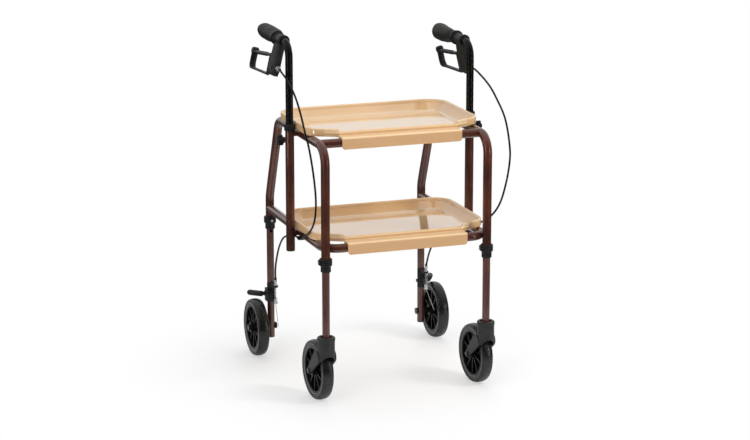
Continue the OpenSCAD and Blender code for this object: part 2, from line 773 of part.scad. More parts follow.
// The bracket on the outer side of a rear leg, with the arm's boss and the adjuster's lug
module brake_bracket(side) color(black) {
    at_rear_leg(side) difference() {
        union() {
            translate([0, 0, bracket_low_z]) linear_extrude(arm_pivot_z + 9 - bracket_low_z) difference() {
                union() {
                    circle(r = saddle_r);
                    translate([0, -saddle_r]) square([saddle_r, 2 * saddle_r]);
                }
                translate([-2 * saddle_r, -saddle_r - 1]) square([2 * saddle_r - 2, 2 * saddle_r + 2]);
            }
            translate([0, 0, bracket_low_z]) linear_extrude(lug_z - bracket_low_z) intersection() {
                circle(r = saddle_r);
                translate([-saddle_r, -saddle_r]) square([2 * saddle_r, saddle_r - 5]);
            }
            translate([0, arm_pivot_y, arm_pivot_z]) rod_x(17, arm_boss[0], arm_boss[1]);
            translate([arm_boss[0], arm_pivot_y, arm_pivot_z - 6])
                cube([arm_boss[1] - arm_boss[0], -arm_pivot_y, 12]);
            translate([anchor_x, anchor_y, 0]) rod_z(13, lug_z - lug_t, lug_z);
            translate([anchor_x - 6.5, anchor_y, lug_z - lug_t]) cube([13, -anchor_y, lug_t]);
        }
        rod_z(inner_d, bracket_low_z - 1, lug_z + 1);
        translate([0, arm_pivot_y, arm_pivot_z]) rod_x(arm_shaft_d + 2 * pin_play, -30, 30);
        translate([anchor_x, anchor_y, 0]) rod_z(6, lug_z - lug_t - 1, lug_z + 1);
        translate([0, 0, bracket_bolt_z]) rod_x(bolt_d, -30, 30);
    }
}

// The wheel's stepped axle and the bolt that holds the bracket
module rear_fasteners(side) color(silver) {
    hub_half = tyre_w / 2 + 3;
    at_rear_leg(side) {
        translate([0, 0, wheel_r]) {
            rod_x(axle_d, -inner_d / 2, wheel_out + hub_half + clear);
            rod_x(axle_d + 7, -inner_d / 2 - 5, -inner_d / 2);
            difference() {
                rod_x(axle_d + 7, 0, wheel_out - hub_half - clear);
                rod_z(inner_d, -axle_d, axle_d);
            }
            rod_x(axle_d + 6, wheel_out + hub_half + clear, wheel_out + hub_half + 5);
        }
        translate([0, 0, bracket_bolt_z]) {
            rod_x(bolt_d, -inner_d / 2, saddle_r);
            difference() {
                rod_x(bolt_d + 4, -inner_d / 2 - 3, 0);
                rod_z(inner_d, -bolt_d, bolt_d);
            }
        }
    }
}

// The barrel adjuster in the lug, where the lower cable ends
module leg_adjuster(side) color(silver)
    at_rear_leg(side) translate([anchor_x, anchor_y, 0]) difference() {
        union() {
            rod_z(6, lug_z - lug_t, lower_adjuster_top);
            rod_z(9, lug_z, lug_z + 4);
            rod_z(7.5, lug_z + 7, lower_adjuster_top);
        }
        rod_z(2.4, lug_z - lug_t - 2, lower_adjuster_top + 1);
    }

// The crank that carries the shoe over the tyre and the cable's pull in front of the leg
module brake_arm(side) color(black) {
    crank_x = saddle_r + clear;
    from_z = shoe_z(shoe_from[1], shoe_gap);
    to_z = shoe_z(shoe_to[1], 2 * shoe_gap);
    at_rear_leg(side) {
        translate([0, arm_pivot_y, arm_pivot_z])
            rod_x(arm_shaft_d, anchor_x - arm_plate / 2, crank_x + arm_plate);
        translate([crank_x, 0, 0]) rotate([90, 0, 90]) linear_extrude(arm_plate)
            tapered_bar([arm_pivot_y, arm_pivot_z], 7, [shoe_from[1], from_z], 6);
        translate([0, shoe_from[1], from_z]) rod_x(9, crank_x, shoe_from[0]);
        hull() {
            translate([shoe_from[0], shoe_from[1], from_z]) sphere(d = shoe_d, $fn = 24);
            translate([shoe_to[0], shoe_to[1], to_z]) sphere(d = shoe_d, $fn = 24);
        }
        difference() {
            translate([anchor_x - arm_plate / 2, 0, 0]) rotate([90, 0, 90]) linear_extrude(arm_plate)
                tapered_bar([arm_pivot_y, arm_pivot_z], 7, [anchor_y, anchor_mid_z], anchor_d / 3);
            translate([anchor_x, anchor_y, 0]) rod_z(anchor_d, anchor_low_z - 9, anchor_top_z + 9);
        }
    }
}

// The clamp on the end of the brake wire, and the wire's free tail, which springs forward
module cable_anchor(side) color(silver) {
    tail_l = 62;
    tail_forward = 20;
    tail_out = side > 0 ? 16 : 0;
    at_rear_leg(side) translate([anchor_x, anchor_y, 0]) {
        rod_z(anchor_d, anchor_low_z, anchor_top_z);
        rod_z(anchor_d + 3, anchor_low_z - 3, anchor_low_z);
        translate([0, 0, anchor_low_z - 2]) rotate([-tail_forward, -tail_out, 0]) rod_z(1.6, -tail_l, 0);
    }
}

// The points along a return spring's wire, from its lower end at t = 0 to its upper end at t = 1
function spring_point(t) =
    let (r = (spring_d - spring_wire) / 2,
        turn = 360 * spring_curls * t)
    [r * cos(turn), r * sin(turn), spring_low + (spring_high - spring_low) * t];
spring_points = [for (i = [0:spring_rings]) spring_point(i / spring_rings)];
// Points most of a curl apart or further; nearer ones are neighbours along the wire
spring_spans = [for (i = [0:spring_rings], j = [i + curl_rings - 2:1:spring_rings])
    norm(spring_points[i] - spring_points[j])];
spring_gap = min(spring_spans) - spring_wire;

module return_spring(side) color(silver) {
    sides = 6;
    echo(str("return spring, least gap in mm: ", spring_gap));
    at_rear_leg(side) translate([anchor_x, anchor_y, 0])
        loft([for (i = [0:spring_rings])
            let (p = spring_points[i],
                u = unit([p[0], p[1], 0]),
                v = [0, 0, 1])
            [for (k = [0:sides - 1])
                let (a = 360 * k / sides)
                p + spring_wire / 2 * (cos(a) * u + sin(a) * v)]]);
}

// Wheels

// A tyre's section: x is the radius and y runs across the wheel
module tyre_section() {
    inner_r = wheel_r - tyre_h;
    shoulder = tyre_h * 0.42;
    crown = [for (a = [-90:15:90])
        [wheel_r - shoulder + shoulder * pow(cos(a), 0.7), tyre_w / 2 * sin(a)]];
    polygon(concat([[inner_r, -tyre_w * 0.4], [inner_r + 4, -tyre_w / 2]], crown,
        [[inner_r + 4, tyre_w / 2], [inner_r, tyre_w * 0.4]]));
}

// A wheel's parts have their axis along X and their middle at the origin
module tyre() rotate([0, 90, 0]) rotate_extrude() tyre_section();

module hub(half) {
    rim_r = wheel_r - tyre_h;
    rim_t = 4;
    boss_d = axle_d + 16;
    web = 3;
    rib_w = tyre_w * 0.6;
    rib_t = 3.2;
    rib_from = boss_d / 2 - 2;
    rotate([0, 90, 0]) difference() {
        union() {
            linear_extrude(tyre_w * 0.8, center = true) difference() {
                circle(r = rim_r);
                circle(r = rim_r - rim_t);
            }
            cylinder(r = rim_r - 1, h = web, center = true);
            cylinder(d = boss_d, h = 2 * half, center = true);
            for (k = [0:hub_ribs - 1]) rotate([0, 0, 360 * k / hub_ribs])
                translate([rib_from, -rib_t / 2, -rib_w / 2])
                    cube([rim_r - rim_t / 2 - rib_from, rib_t, rib_w]);
        }
        cylinder(d = axle_d + 2 * pin_play, h = 4 * half, center = true);
    }
}

module at_rear_wheel(side)
    at_rear_leg(side) translate([wheel_out, 0, wheel_r]) children();

module rear_hub(side) color(black) at_rear_wheel(side) hub(tyre_w / 2 + 3);

module rear_tyre(side) color(rubber) at_rear_wheel(side) tyre();

module at_caster_wheel(side)
    at_caster(side) translate([0, caster_trail, wheel_r]) children();

module caster_hub(side) color(black) at_caster_wheel(side) hub(blade_in - clear);

module caster_tyre(side) color(rubber) at_caster_wheel(side) tyre();

// Front legs and casters

module front_leg(side) color(bronze) {
    leg_top = button_z + leg_notch + 45;
    translate([side * leg_x, front_y, 0]) difference() {
        rod_z(inner_d, stem_end_z + clear, leg_top);
        rod_z(inner_bore, stem_end_z, leg_top + 1);
        rotate([0, 0, front_button_way]) button_holes();
    }
}

module front_button(side)
    translate([side * leg_x, front_y, button_z]) rotate([0, 0, front_button_way]) snap_button();

// The outline round two circles and their outer tangents, in the YZ plane as x and y
module tapered_bar(a, ra, b, rb) {
    d = b - a;
    lean = acos((ra - rb) / norm(d));
    way = atan2(d[1], d[0]);
    translate(a) circle(r = ra);
    translate(b) circle(r = rb);
    polygon([for (s = [-1, 1]) a + ra * [cos(way + s * lean), sin(way + s * lean)],
        for (s = [1, -1]) b + rb * [cos(way + s * lean), sin(way + s * lean)]]);
}

// A caster fork's socket: its section from the stem's axis out, with a lip round the top
module socket_section() {
    lip_r = socket_d / 2;
    body_r = lip_r - 0.8;
    lip_h = 9;
    polygon([[0, socket_low_z], [body_r, socket_low_z], [body_r, fork_top_z - lip_h - 1],
        [lip_r, fork_top_z - lip_h], [lip_r, fork_top_z - 2], [lip_r - 2, fork_top_z], [0, fork_top_z]]);
}

// A caster fork: a socket for the leg, an arched crown and two blades to the axle
module caster_fork(side) color(black) {
    outside = blade_in + blade_t;
    shoulder = [10, wheel_d - 30];
    arch_r = blade_in - 1.5;
    at_caster(side) difference() {
        union() {
            rotate_extrude() socket_section();
            rotate([90, 0, 90]) linear_extrude(2 * outside, center = true)
                tapered_bar(shoulder, 17, [caster_trail, wheel_r], 9);
        }
        translate([0, caster_trail, wheel_r]) rod_x(2 * fork_well_r, -blade_in, blade_in);
        rod_z(inner_d + 2 * pin_play, stem_end_z, fork_top_z + 1);
        rod_z(inner_d + 10, fork_top_z - 4, fork_top_z + 1);
        translate([0, caster_trail, wheel_r]) rod_x(axle_d, -2 * blade_in, 2 * blade_in);
        translate([0, 0, socket_low_z - 4]) rod_y(2 * arch_r, -socket_d, 0);
    }
}

module caster_axle(side) color(silver) {
    outside = blade_in + blade_t;
    at_caster_wheel(side) {
        rod_x(axle_d, -outside, outside);
        for (s = [-1, 1]) rotate([0, 0, s > 0 ? 0 : 180]) rod_x(axle_d + 3, outside, outside + 3);
    }
}

side_frame(-1);  // right_side_frame
side_frame(1);  // left_side_frame
lower_rail();
front_crossbar();
handle_posts();
tube_collars();
cable_clips();
upper_tray();
lower_tray();
handle_tube(-1);  // right_handle_tube
grip(-1);  // right_grip
brake_housing(-1);  // right_brake_housing
lever_pin(-1);  // right_lever_pin
cable_adjuster(-1);  // right_cable_adjuster
brake_lever(-1);  // right_brake_lever
clamp_knob(-1);  // right_clamp_knob
upper_cable(-1);  // right_upper_cable
lower_cable(-1);  // right_lower_cable
rear_leg(-1);  // right_rear_leg
brake_bracket(-1);  // right_brake_bracket
rear_fasteners(-1);  // right_rear_fasteners
leg_adjuster(-1);  // right_leg_adjuster
rear_button(-1);  // right_rear_button
brake_arm(-1);  // right_brake_arm
cable_anchor(-1);  // right_cable_anchor
return_spring(-1);  // right_return_spring
rear_hub(-1);  // right_rear_hub
rear_tyre(-1);  // right_rear_tyre
front_leg(-1);  // right_front_leg
front_button(-1);  // right_front_button
caster_fork(-1);  // right_caster_fork
caster_axle(-1);  // right_caster_axle
caster_hub(-1);  // right_caster_hub
caster_tyre(-1);  // right_caster_tyre
handle_tube(1);  // left_handle_tube
grip(1);  // left_grip
brake_housing(1);  // left_brake_housing
lever_pin(1);  // left_lever_pin
cable_adjuster(1);  // left_cable_adjuster
brake_lever(1);  // left_brake_lever
clamp_knob(1);  // left_clamp_knob
upper_cable(1);  // left_upper_cable
lower_cable(1);  // left_lower_cable
rear_leg(1);  // left_rear_leg
brake_bracket(1);  // left_brake_bracket
rear_fasteners(1);  // left_rear_fasteners
leg_adjuster(1);  // left_leg_adjuster
rear_button(1);  // left_rear_button
brake_arm(1);  // left_brake_arm
cable_anchor(1);  // left_cable_anchor
return_spring(1);  // left_return_spring
rear_hub(1);  // left_rear_hub
rear_tyre(1);  // left_rear_tyre
front_leg(1);  // left_front_leg
front_button(1);  // left_front_button
caster_fork(1);  // left_caster_fork
caster_axle(1);  // left_caster_axle
caster_hub(1);  // left_caster_hub
caster_tyre(1);  // left_caster_tyre
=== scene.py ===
"""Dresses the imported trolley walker: materials, fine pieces, studio and camera.

Everything is in metres, in the CAD model's own frame: the front faces -Y and the floor is z = 0.
Tables of plain numbers are in millimetres.
"""

import json
import math

import bpy
from mathutils import Matrix, Vector

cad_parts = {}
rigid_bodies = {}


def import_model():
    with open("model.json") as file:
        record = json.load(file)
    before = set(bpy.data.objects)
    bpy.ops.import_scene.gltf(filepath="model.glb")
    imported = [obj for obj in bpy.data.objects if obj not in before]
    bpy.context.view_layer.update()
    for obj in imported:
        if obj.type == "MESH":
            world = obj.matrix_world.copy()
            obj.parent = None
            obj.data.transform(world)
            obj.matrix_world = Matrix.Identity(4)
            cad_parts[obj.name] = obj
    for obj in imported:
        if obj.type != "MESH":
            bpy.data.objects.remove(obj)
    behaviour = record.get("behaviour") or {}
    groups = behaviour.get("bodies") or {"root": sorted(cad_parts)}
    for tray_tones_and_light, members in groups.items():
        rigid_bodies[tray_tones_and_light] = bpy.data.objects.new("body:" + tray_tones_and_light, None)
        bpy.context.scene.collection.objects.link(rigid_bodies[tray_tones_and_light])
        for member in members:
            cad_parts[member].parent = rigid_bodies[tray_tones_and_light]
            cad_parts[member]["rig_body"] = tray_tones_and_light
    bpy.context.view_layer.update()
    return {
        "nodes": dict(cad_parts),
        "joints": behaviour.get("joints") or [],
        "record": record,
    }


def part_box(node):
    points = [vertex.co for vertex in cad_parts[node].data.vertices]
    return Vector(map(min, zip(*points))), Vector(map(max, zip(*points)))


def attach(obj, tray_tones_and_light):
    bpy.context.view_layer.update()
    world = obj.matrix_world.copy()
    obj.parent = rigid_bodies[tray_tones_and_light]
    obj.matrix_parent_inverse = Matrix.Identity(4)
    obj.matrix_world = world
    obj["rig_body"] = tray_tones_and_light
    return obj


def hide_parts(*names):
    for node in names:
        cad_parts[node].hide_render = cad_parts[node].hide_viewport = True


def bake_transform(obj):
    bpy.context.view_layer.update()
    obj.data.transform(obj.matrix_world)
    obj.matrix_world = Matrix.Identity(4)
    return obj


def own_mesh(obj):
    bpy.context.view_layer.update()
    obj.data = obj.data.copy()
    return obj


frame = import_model()
NODES = frame["nodes"]
JOINTS = {joint["name"]: joint for joint in frame["joints"]}
SIDES = ("right", "left")
OUTWARD = {"right": -1.0, "left": 1.0}
MM = 0.001


# Shader nodes


def srgb(red, green, blue):
    """A colour given in screen values from 0 to 255, as the linear values that shaders take."""
    def linear(value):
        share = value / 255
        return share / 12.92 if share <= 0.04045 else ((share + 0.055) / 1.055) ** 2.4

    return (linear(red), linear(green), linear(blue), 1.0)


def add_node(made, kind, **settings):
    node = made.node_tree.nodes.new(kind)
    for key, value in settings.items():
        setattr(node, key, value)
    return node


def link(made, output, target):
    made.node_tree.links.new(output, target)


def shader_input(made, name):
    return made.node_tree.nodes["Principled BSDF"].inputs[name]


def new_material(name, colour, roughness, metallic=0.0, specular=0.5, coat=0.0,
                 coat_roughness=0.05):
    """A material with one value for each setting; some of them are linked to patterns later."""
    made = bpy.data.materials.new(name)
    made.use_nodes = True
    for key, value in (("Base Color", colour), ("Roughness", roughness), ("Metallic", metallic),
                       ("Specular IOR Level", specular), ("Coat Weight", coat),
                       ("Coat Roughness", coat_roughness)):
        shader_input(made, key).default_value = value
    return made


def place_output(made, stretch=(1.0, 1.0, 1.0)):
    """The surface's own coordinates, which move with the piece, stretched along each axis."""
    coordinates = add_node(made, "ShaderNodeTexCoord")
    mapping = add_node(made, "ShaderNodeMapping")
    mapping.inputs["Scale"].default_value = stretch
    link(made, coordinates.outputs["Object"], mapping.inputs["Vector"])
    return mapping.outputs["Vector"]


def noise(made, scale, detail=2.0, stretch=(1.0, 1.0, 1.0)):
    """Lumps over the surface, with about scale of them to the metre."""
    texture = add_node(made, "ShaderNodeTexNoise")
    texture.inputs["Scale"].default_value = scale
    texture.inputs["Detail"].default_value = detail
    link(made, place_output(made, stretch), texture.inputs["Vector"])
    return texture.outputs["Fac"]


def ramp(made, factor, stops):
    """Colours at places from 0 to 1 along a factor."""
    node = add_node(made, "ShaderNodeValToRGB")
    elements = node.color_ramp.elements
    while len(elements) < len(stops):
        elements.new(0.5)
    for element, (place, colour) in zip(elements, stops):
        element.position = place
        element.color = colour
    link(made, factor, node.inputs["Fac"])
    return node.outputs["Color"]


def spread(made, factor, low, high, start=0.3, end=0.7, step="LINEAR"):
    """A factor between start and end, spread over low to high."""
    node = add_node(made, "ShaderNodeMapRange", interpolation_type=step)
    for key, number in (("From Min", start), ("From Max", end), ("To Min", low), ("To Max", high)):
        node.inputs[key].default_value = number
    link(made, factor, node.inputs["Value"])
    return node.outputs["Result"]


def mix(made, factor, first, second):
    """Two colours blended by a factor; each is an output or one colour for all."""
    node = add_node(made, "ShaderNodeMix", data_type="RGBA")
    for key, value in (("Factor", factor), ("A", first), ("B", second)):
        socket = next(s for s in node.inputs
                      if s.name == key and s.type in ("RGBA", "VALUE") and s.enabled)
        if isinstance(value, tuple):
            socket.default_value = value
        else:
            link(made, value, socket)
    return next(s for s in node.outputs if s.type == "RGBA" and s.enabled)


def bump(made, height, depth):
    """Raises the surface by up to depth where the height is 1."""
    node = add_node(made, "ShaderNodeBump")
    node.inputs["Distance"].default_value = depth
    link(made, height, node.inputs["Height"])
    link(made, node.outputs["Normal"], shader_input(made, "Normal"))


def colour_by(made, output):
    link(made, output, shader_input(made, "Base Color"))


def tint(made, factor, dark, light, start=0.35, end=0.65):
    """Lets the colour go from dark to light along a factor."""
    colour_by(made, ramp(made, factor, [(start, dark), (end, light)]))


def roughen(made, factor, low, high):
    """Lets the roughness go from low to high along a factor."""
    link(made, spread(made, factor, low, high), shader_input(made, "Roughness"))


# Materials

FLAKE = srgb(128, 74, 54)
# The pale tones by the bead are a painted highlight ring; the darker ones are the rubber's own.
TYRE_TONES_AND_BEAD_HIGHLIGHT = [(0.0, srgb(104, 105, 105)), (0.1, srgb(92, 93, 93)), (0.17, srgb(9, 9, 10)),
              (0.8, srgb(10, 10, 11)), (1.0, srgb(16, 16, 17))]
TYRE_DUST = srgb(32, 32, 31)

TRAY_BASE = srgb(203, 159, 108)
TRAY_DRIFT = srgb(218, 178, 130)
# The floor tone is partly the plastic's own and partly a painted reflection; the pale edge tone is
# a painted highlight.
TRAY_FLOOR_TONE_AND_REFLECTION = srgb(224, 190, 148)
TRAY_WALL = srgb(215, 174, 127)
TRAY_LIP = srgb(207, 164, 118)
TRAY_PAINTED_HIGHLIGHT = srgb(236, 204, 162)
TRAY_COAT_IOR = 2.1
WALL_COAT = 0.25
# Heights over a tray's floor where its tones and painted highlights change, and the depth of the
# lip in front of the dish
UNDER_FLOOR = 10 * MM
FLOOR_TOP = 1.5
WALL_FOOT = 4
RIM_HIGHLIGHT_BAND = 7
# The lip's pale bands are painted highlights along its top edges.
LIP_TONES_AND_HIGHLIGHTS = [(2.5, TRAY_LIP), (5.5, TRAY_PAINTED_HIGHLIGHT), (7.8, TRAY_PAINTED_HIGHLIGHT), (8.4, TRAY_LIP), (12, TRAY_LIP),
             (13, TRAY_PAINTED_HIGHLIGHT)]
LIP_DEPTH = 44 * MM
LIP_BLEND = 2 * MM


def metallic_paint(name, dark, light, gloss):
    """Lacquered bronze: fine flakes under a clear coat with a little orange peel."""
    made = new_material(name, light, 0.3, metallic=0.3, specular=0.4, coat=0.9, coat_roughness=0.04)
    drift = noise(made, 14, detail=3.0)
    flakes = noise(made, 2600, detail=1.0)
    paint = ramp(made, drift, [(0.35, dark), (0.65, light)])
    colour_by(made, mix(made, spread(made, flakes, 0.0, 0.25, 0.55, 0.75), paint, FLAKE))
    roughen(made, flakes, gloss, gloss + 0.12)
    bump(made, noise(made, 420), 0.008 * MM)
    return made


def tray_plastic(name, floor_z, rim_z, front_y):
    """Glossy tan moulding with a polished floor; a painted reflection makes the floor paler, and
    painted highlights make its rim and lip edges paler.
    """
    made = new_material(name, TRAY_BASE, 0.12, specular=1.0, coat=1.0, coat_roughness=0.03)
    shader_input(made, "Coat IOR").default_value = TRAY_COAT_IOR
    low_z = floor_z - UNDER_FLOOR
    rim_up = (rim_z - floor_z) / MM
    place = add_node(made, "ShaderNodeSeparateXYZ")
    link(made, place_output(made), place.inputs["Vector"])
    share = spread(made, place.outputs["Z"], 0.0, 1.0, low_z, rim_z)

    def tones(zones):
        """Colours by height over the tray's floor, in millimetres, with the painted reflection and
        highlights among them.
        """
        return ramp(made, share, [((floor_z + up * MM - low_z) / (rim_z - low_z), tone)
                                  for up, tone in zones])

    # Paler floor: partly painted reflection. Pale band at the rim: painted highlight.
    dish_tones_and_light = tones([(-FLOOR_TOP, TRAY_FLOOR_TONE_AND_REFLECTION), (FLOOR_TOP, TRAY_FLOOR_TONE_AND_REFLECTION), (WALL_FOOT, TRAY_WALL),
                  (rim_up - RIM_HIGHLIGHT_BAND, TRAY_WALL), (rim_up, TRAY_PAINTED_HIGHLIGHT)])
    dish_y = front_y + LIP_DEPTH
    at_dish = spread(made, place.outputs["Y"], 0.0, 1.0, dish_y, dish_y + LIP_BLEND)
    tray_tones_and_light = mix(made, at_dish, tones(LIP_TONES_AND_HIGHLIGHTS), dish_tones_and_light)
    drift = noise(made, 9, detail=3.0)
    colour_by(made, mix(made, spread(made, drift, 0.0, 0.15), tray_tones_and_light, TRAY_DRIFT))
    roughen(made, drift, 0.1, 0.14)
    polish = spread(made, place.outputs["Z"], 1.0, WALL_COAT, floor_z + FLOOR_TOP * MM,
                    floor_z + WALL_FOOT * MM)
    link(made, polish, shader_input(made, "Coat Weight"))
    return made


def moulded_plastic(name, dark, light, roughness, grain=0.05):
    """Satin moulding with a sandblasted grain."""
    made = new_material(name, light, roughness, specular=0.3)
    drift = noise(made, 45, detail=3.0)
    tint(made, drift, dark, light)
    roughen(made, drift, roughness - 0.06, roughness + 0.08)
    bump(made, noise(made, 1900), grain * MM)
    return made


def gloss_black(name, base, dark, light):
    """Black powder coat with a smooth gloss and a faint orange peel."""
    made = new_material(name, base, 0.25, specular=0.16, coat=0.1, coat_roughness=0.05)
    drift = noise(made, 30, detail=3.0)
    tint(made, drift, dark, light)
    roughen(made, drift, 0.22, 0.32)
    bump(made, noise(made, 380), 0.005 * MM)
    return made


def soft_rubber(name, dark, light):
    """Matte grip rubber with a pebbled skin and worn, paler patches."""
    made = new_material(name, light, 0.5, specular=0.22)
    pebbles = add_node(made, "ShaderNodeTexVoronoi")
    pebbles.inputs["Scale"].default_value = 900
    link(made, place_output(made), pebbles.inputs["Vector"])
    wear = noise(made, 38, detail=4.0)
    tint(made, wear, dark, light, end=0.7)
    roughen(made, wear, 0.44, 0.58)
    bump(made, pebbles.outputs["Distance"], 0.06 * MM)
    return made


def turned_steel(name, dark, light):
    """Plated or blackened steel with fine turning marks."""
    made = new_material(name, light, 0.3, metallic=0.8)
    marks = noise(made, 420, detail=3.0, stretch=(1.0, 1.0, 6.0))
    tint(made, marks, dark, light, start=0.3, end=0.7)
    roughen(made, marks, 0.2, 0.36)
    bump(made, marks, 0.01 * MM)
    return made


def tyre_rubber(name, centre, axis, tread_r, bead_r):
    """Dark grey rubber: a dusty tread, a smoother side wall and a painted highlight ring at the
    bead against the rim.
    """
    made = new_material(name, srgb(16, 16, 17), 0.3, specular=0.5)
    coordinates = add_node(made, "ShaderNodeTexCoord")
    offset = add_node(made, "ShaderNodeVectorMath", operation="SUBTRACT")
    offset.inputs[1].default_value = centre
    link(made, coordinates.outputs["Object"], offset.inputs[0])
    across = add_node(made, "ShaderNodeVectorMath", operation="CROSS_PRODUCT")
    across.inputs[1].default_value = axis
    link(made, offset.outputs["Vector"], across.inputs[0])
    radius = add_node(made, "ShaderNodeVectorMath", operation="LENGTH")
    link(made, across.outputs["Vector"], radius.inputs[0])
    out = spread(made, radius.outputs["Value"], 0.0, 1.0, bead_r, tread_r)
    dust = noise(made, 70, detail=4.0)
    dusty = spread(made, dust, 0.0, 0.2, 0.45, 0.75)
    # The pale ring at the bead is a painted highlight.
    colour_by(made, mix(made, dusty, ramp(made, out, TYRE_TONES_AND_BEAD_HIGHLIGHT), TYRE_DUST))
    roughen(made, dust, 0.22, 0.36)
    bump(made, noise(made, 800, detail=3.0), 0.05 * MM)
    return made


def cable_cover(name, base, dark, light):
    """Black vinyl with an uneven skin."""
    made = new_material(name, base, 0.4, specular=0.2)
    drift = noise(made, 60, detail=3.0)
    tint(made, drift, dark, light)
    roughen(made, drift, 0.34, 0.48)
    bump(made, noise(made, 900), 0.04 * MM)
    return made


def floor_height(tray):
    mounts = frame["record"]["mounts"]
    return next(m["pos_m"][2] for m in mounts if m["name"] == f"{tray}_floor")


def tray_tan(tray):
    """A tray's plastic, fitted to its floor, its rim and its front lip."""
    low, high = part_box(tray)
    return tray_plastic(f"{tray}_tan", floor_height(tray), high.z, low.y)


BRONZE = metallic_paint("bronze_paint", srgb(60, 25, 14), srgb(90, 43, 27), 0.22)
LEG_BRONZE = metallic_paint("leg_bronze_paint", srgb(76, 42, 35), srgb(98, 60, 52), 0.34)
TANS = {tray: tray_tan(tray) for tray in ("upper_tray", "lower_tray")}
BLACK_TUBE = gloss_black("handle_black", srgb(8, 8, 8), srgb(6, 6, 6), srgb(10, 10, 10))
BLACK_PLASTIC = moulded_plastic("black_plastic", srgb(20, 20, 21), srgb(30, 30, 31), 0.45)
FORK_PLASTIC = moulded_plastic("fork_charcoal", srgb(36, 36, 37), srgb(47, 47, 48), 0.5)
GREY_PLASTIC = moulded_plastic("housing_grey", srgb(25, 25, 25), srgb(36, 36, 35), 0.48)
HUB_PLASTIC = moulded_plastic("hub_black", srgb(10, 10, 11), srgb(18, 18, 19), 0.4, grain=0.03)
GRIP_RUBBER = soft_rubber("grip_rubber", srgb(24, 24, 23), srgb(37, 37, 35))
LEVER_BLACK = moulded_plastic("lever_black", srgb(16, 16, 17), srgb(25, 25, 25), 0.32, grain=0.02)
STEEL = turned_steel("bright_steel", srgb(186, 186, 189), srgb(224, 224, 226))
DARK_STEEL = turned_steel("blackened_steel", srgb(34, 34, 35), srgb(58, 58, 59))
VINYL = cable_cover("cable_vinyl", srgb(13, 13, 14), srgb(10, 10, 11), srgb(17, 17, 18))


# Meshes

SHARP_ANGLE = math.radians(40)
CAD_EDGE_ANGLE = math.radians(32)
MERGE_GAP = 0.002 * MM
SMOOTHING_PASSES = 12


def add_piece(name, vertices, faces, surface, tray_tones_and_light):
    """A smooth mesh in the row frame, which rides on a body if one is given."""
    mesh = bpy.data.meshes.new(name)
    mesh.from_pydata([tuple(v) for v in vertices], [], faces)
    mesh.validate()
    mesh.shade_smooth()
    mesh.set_sharp_from_angle(angle=SHARP_ANGLE)
    mesh.materials.append(surface)
    piece = bpy.data.objects.new(name, mesh)
    bpy.context.scene.collection.objects.link(piece)
    if tray_tones_and_light is not None:
        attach(piece, tray_tones_and_light)
    return piece


def node_middle(node):
    low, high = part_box(node)
    return (low + high) / 2


def scaled(profile):
    """A profile in millimetres, as metres."""
    return [(radius * MM, height * MM) for radius, height in profile]


def turns(count):
    """The angles of even steps round a circle."""
    return [2 * math.pi * k / count for k in range(count)]


def blunted(value, power):
    """A sine or cosine that makes a round section squarer, the more so the lower the power."""
    return math.copysign(abs(value) ** power, value)


def grid_faces(rings, sides, closed_rings=False):
    """Quads between rings of points, each ring closed on itself."""
    count = rings if closed_rings else rings - 1
    return [
        (
            i * sides + k,
            i * sides + (k + 1) % sides,
            (i + 1) % rings * sides + (k + 1) % sides,
            (i + 1) % rings * sides + k,
        )
        for i in range(count)
        for k in range(sides)
    ]


def capped_faces(rings, sides):
    """Quads between rings of points, and a flat face over each end."""
    ends = [tuple(reversed(range(sides))), tuple(range((rings - 1) * sides, rings * sides))]
    return grid_faces(rings, sides) + ends


def axis_place(origin, axis):
    """A matrix that puts local +Z along an axis through a point."""
    turn = Vector(axis).normalized().to_track_quat("Z", "Y").to_matrix().to_4x4()
    return Matrix.Translation(Vector(origin)) @ turn


def lathe(profile, place, segments, closed=False):
    """Turns (radius, height) points round local Z; a closed profile comes back to its start."""
    vertices = [place @ Vector((radius * math.cos(angle), radius * math.sin(angle), height))
                for radius, height in profile for angle in turns(segments)]
    if closed:
        return vertices, grid_faces(len(profile), segments, closed_rings=True)
    return vertices, capped_faces(len(profile), segments)


def smooth_route(points, steps):
    """Points on a smooth curve through a route, with steps to each span."""
    found = []
    for i in range(len(points) - 1):
        a = points[max(i - 1, 0)]
        b = points[i]
        c = points[i + 1]
        d = points[min(i + 2, len(points) - 1)]
        for k in range(steps):
            t = k / steps
            found.append(0.5 * (2 * b + (c - a) * t + (2 * a - 5 * b + 4 * c - d) * t * t
                                + (3 * b - a - 3 * c + d) * t * t * t))
    found.append(points[-1])
    for _ in range(SMOOTHING_PASSES):
        found[1:-1] = [(a + 2 * b + c) / 4 for a, b, c in zip(found, found[1:], found[2:])]
    return found


def sweep(points, radius, sides=12):
    """A round tube along points, whose section never twists."""
    vertices = []
    side = None
    for i, point in enumerate(points):
        way = (points[min(i + 1, len(points) - 1)] - points[max(i - 1, 0)]).normalized()
        side = way.orthogonal() if side is None else side - way * side.dot(way)
        side.normalize()
        up = way.cross(side)
        for angle in turns(sides):
            vertices.append(point + radius * (math.cos(angle) * side + math.sin(angle) * up))
    return vertices, capped_faces(len(points), sides)


def closed_loft(rings, place, mirrored):
    """Rings of local points joined into one closed skin that faces outward."""
    vertices = [place @ Vector(point) for ring in rings for point in ring]
    faces = capped_faces(len(rings), len(rings[0]))
    return vertices, [tuple(reversed(face)) for face in faces] if mirrored else faces


def join(parts):
    """Several vertex and face lists as one."""
    vertices, faces = [], []
    for more_vertices, more_faces in parts:
        start = len(vertices)
        vertices += more_vertices
        faces += [tuple(start + k for k in face) for face in more_faces]
    return vertices, faces


def eased(value, places):
    """Values at rising places, joined by smooth steps."""
    for (start, low), (end, high) in zip(places, places[1:]):
        if value <= end:
            share = max(value - start, 0.0) / (end - start)
            return low + (high - low) * share * share * (3 - 2 * share)
    return places[-1][1]


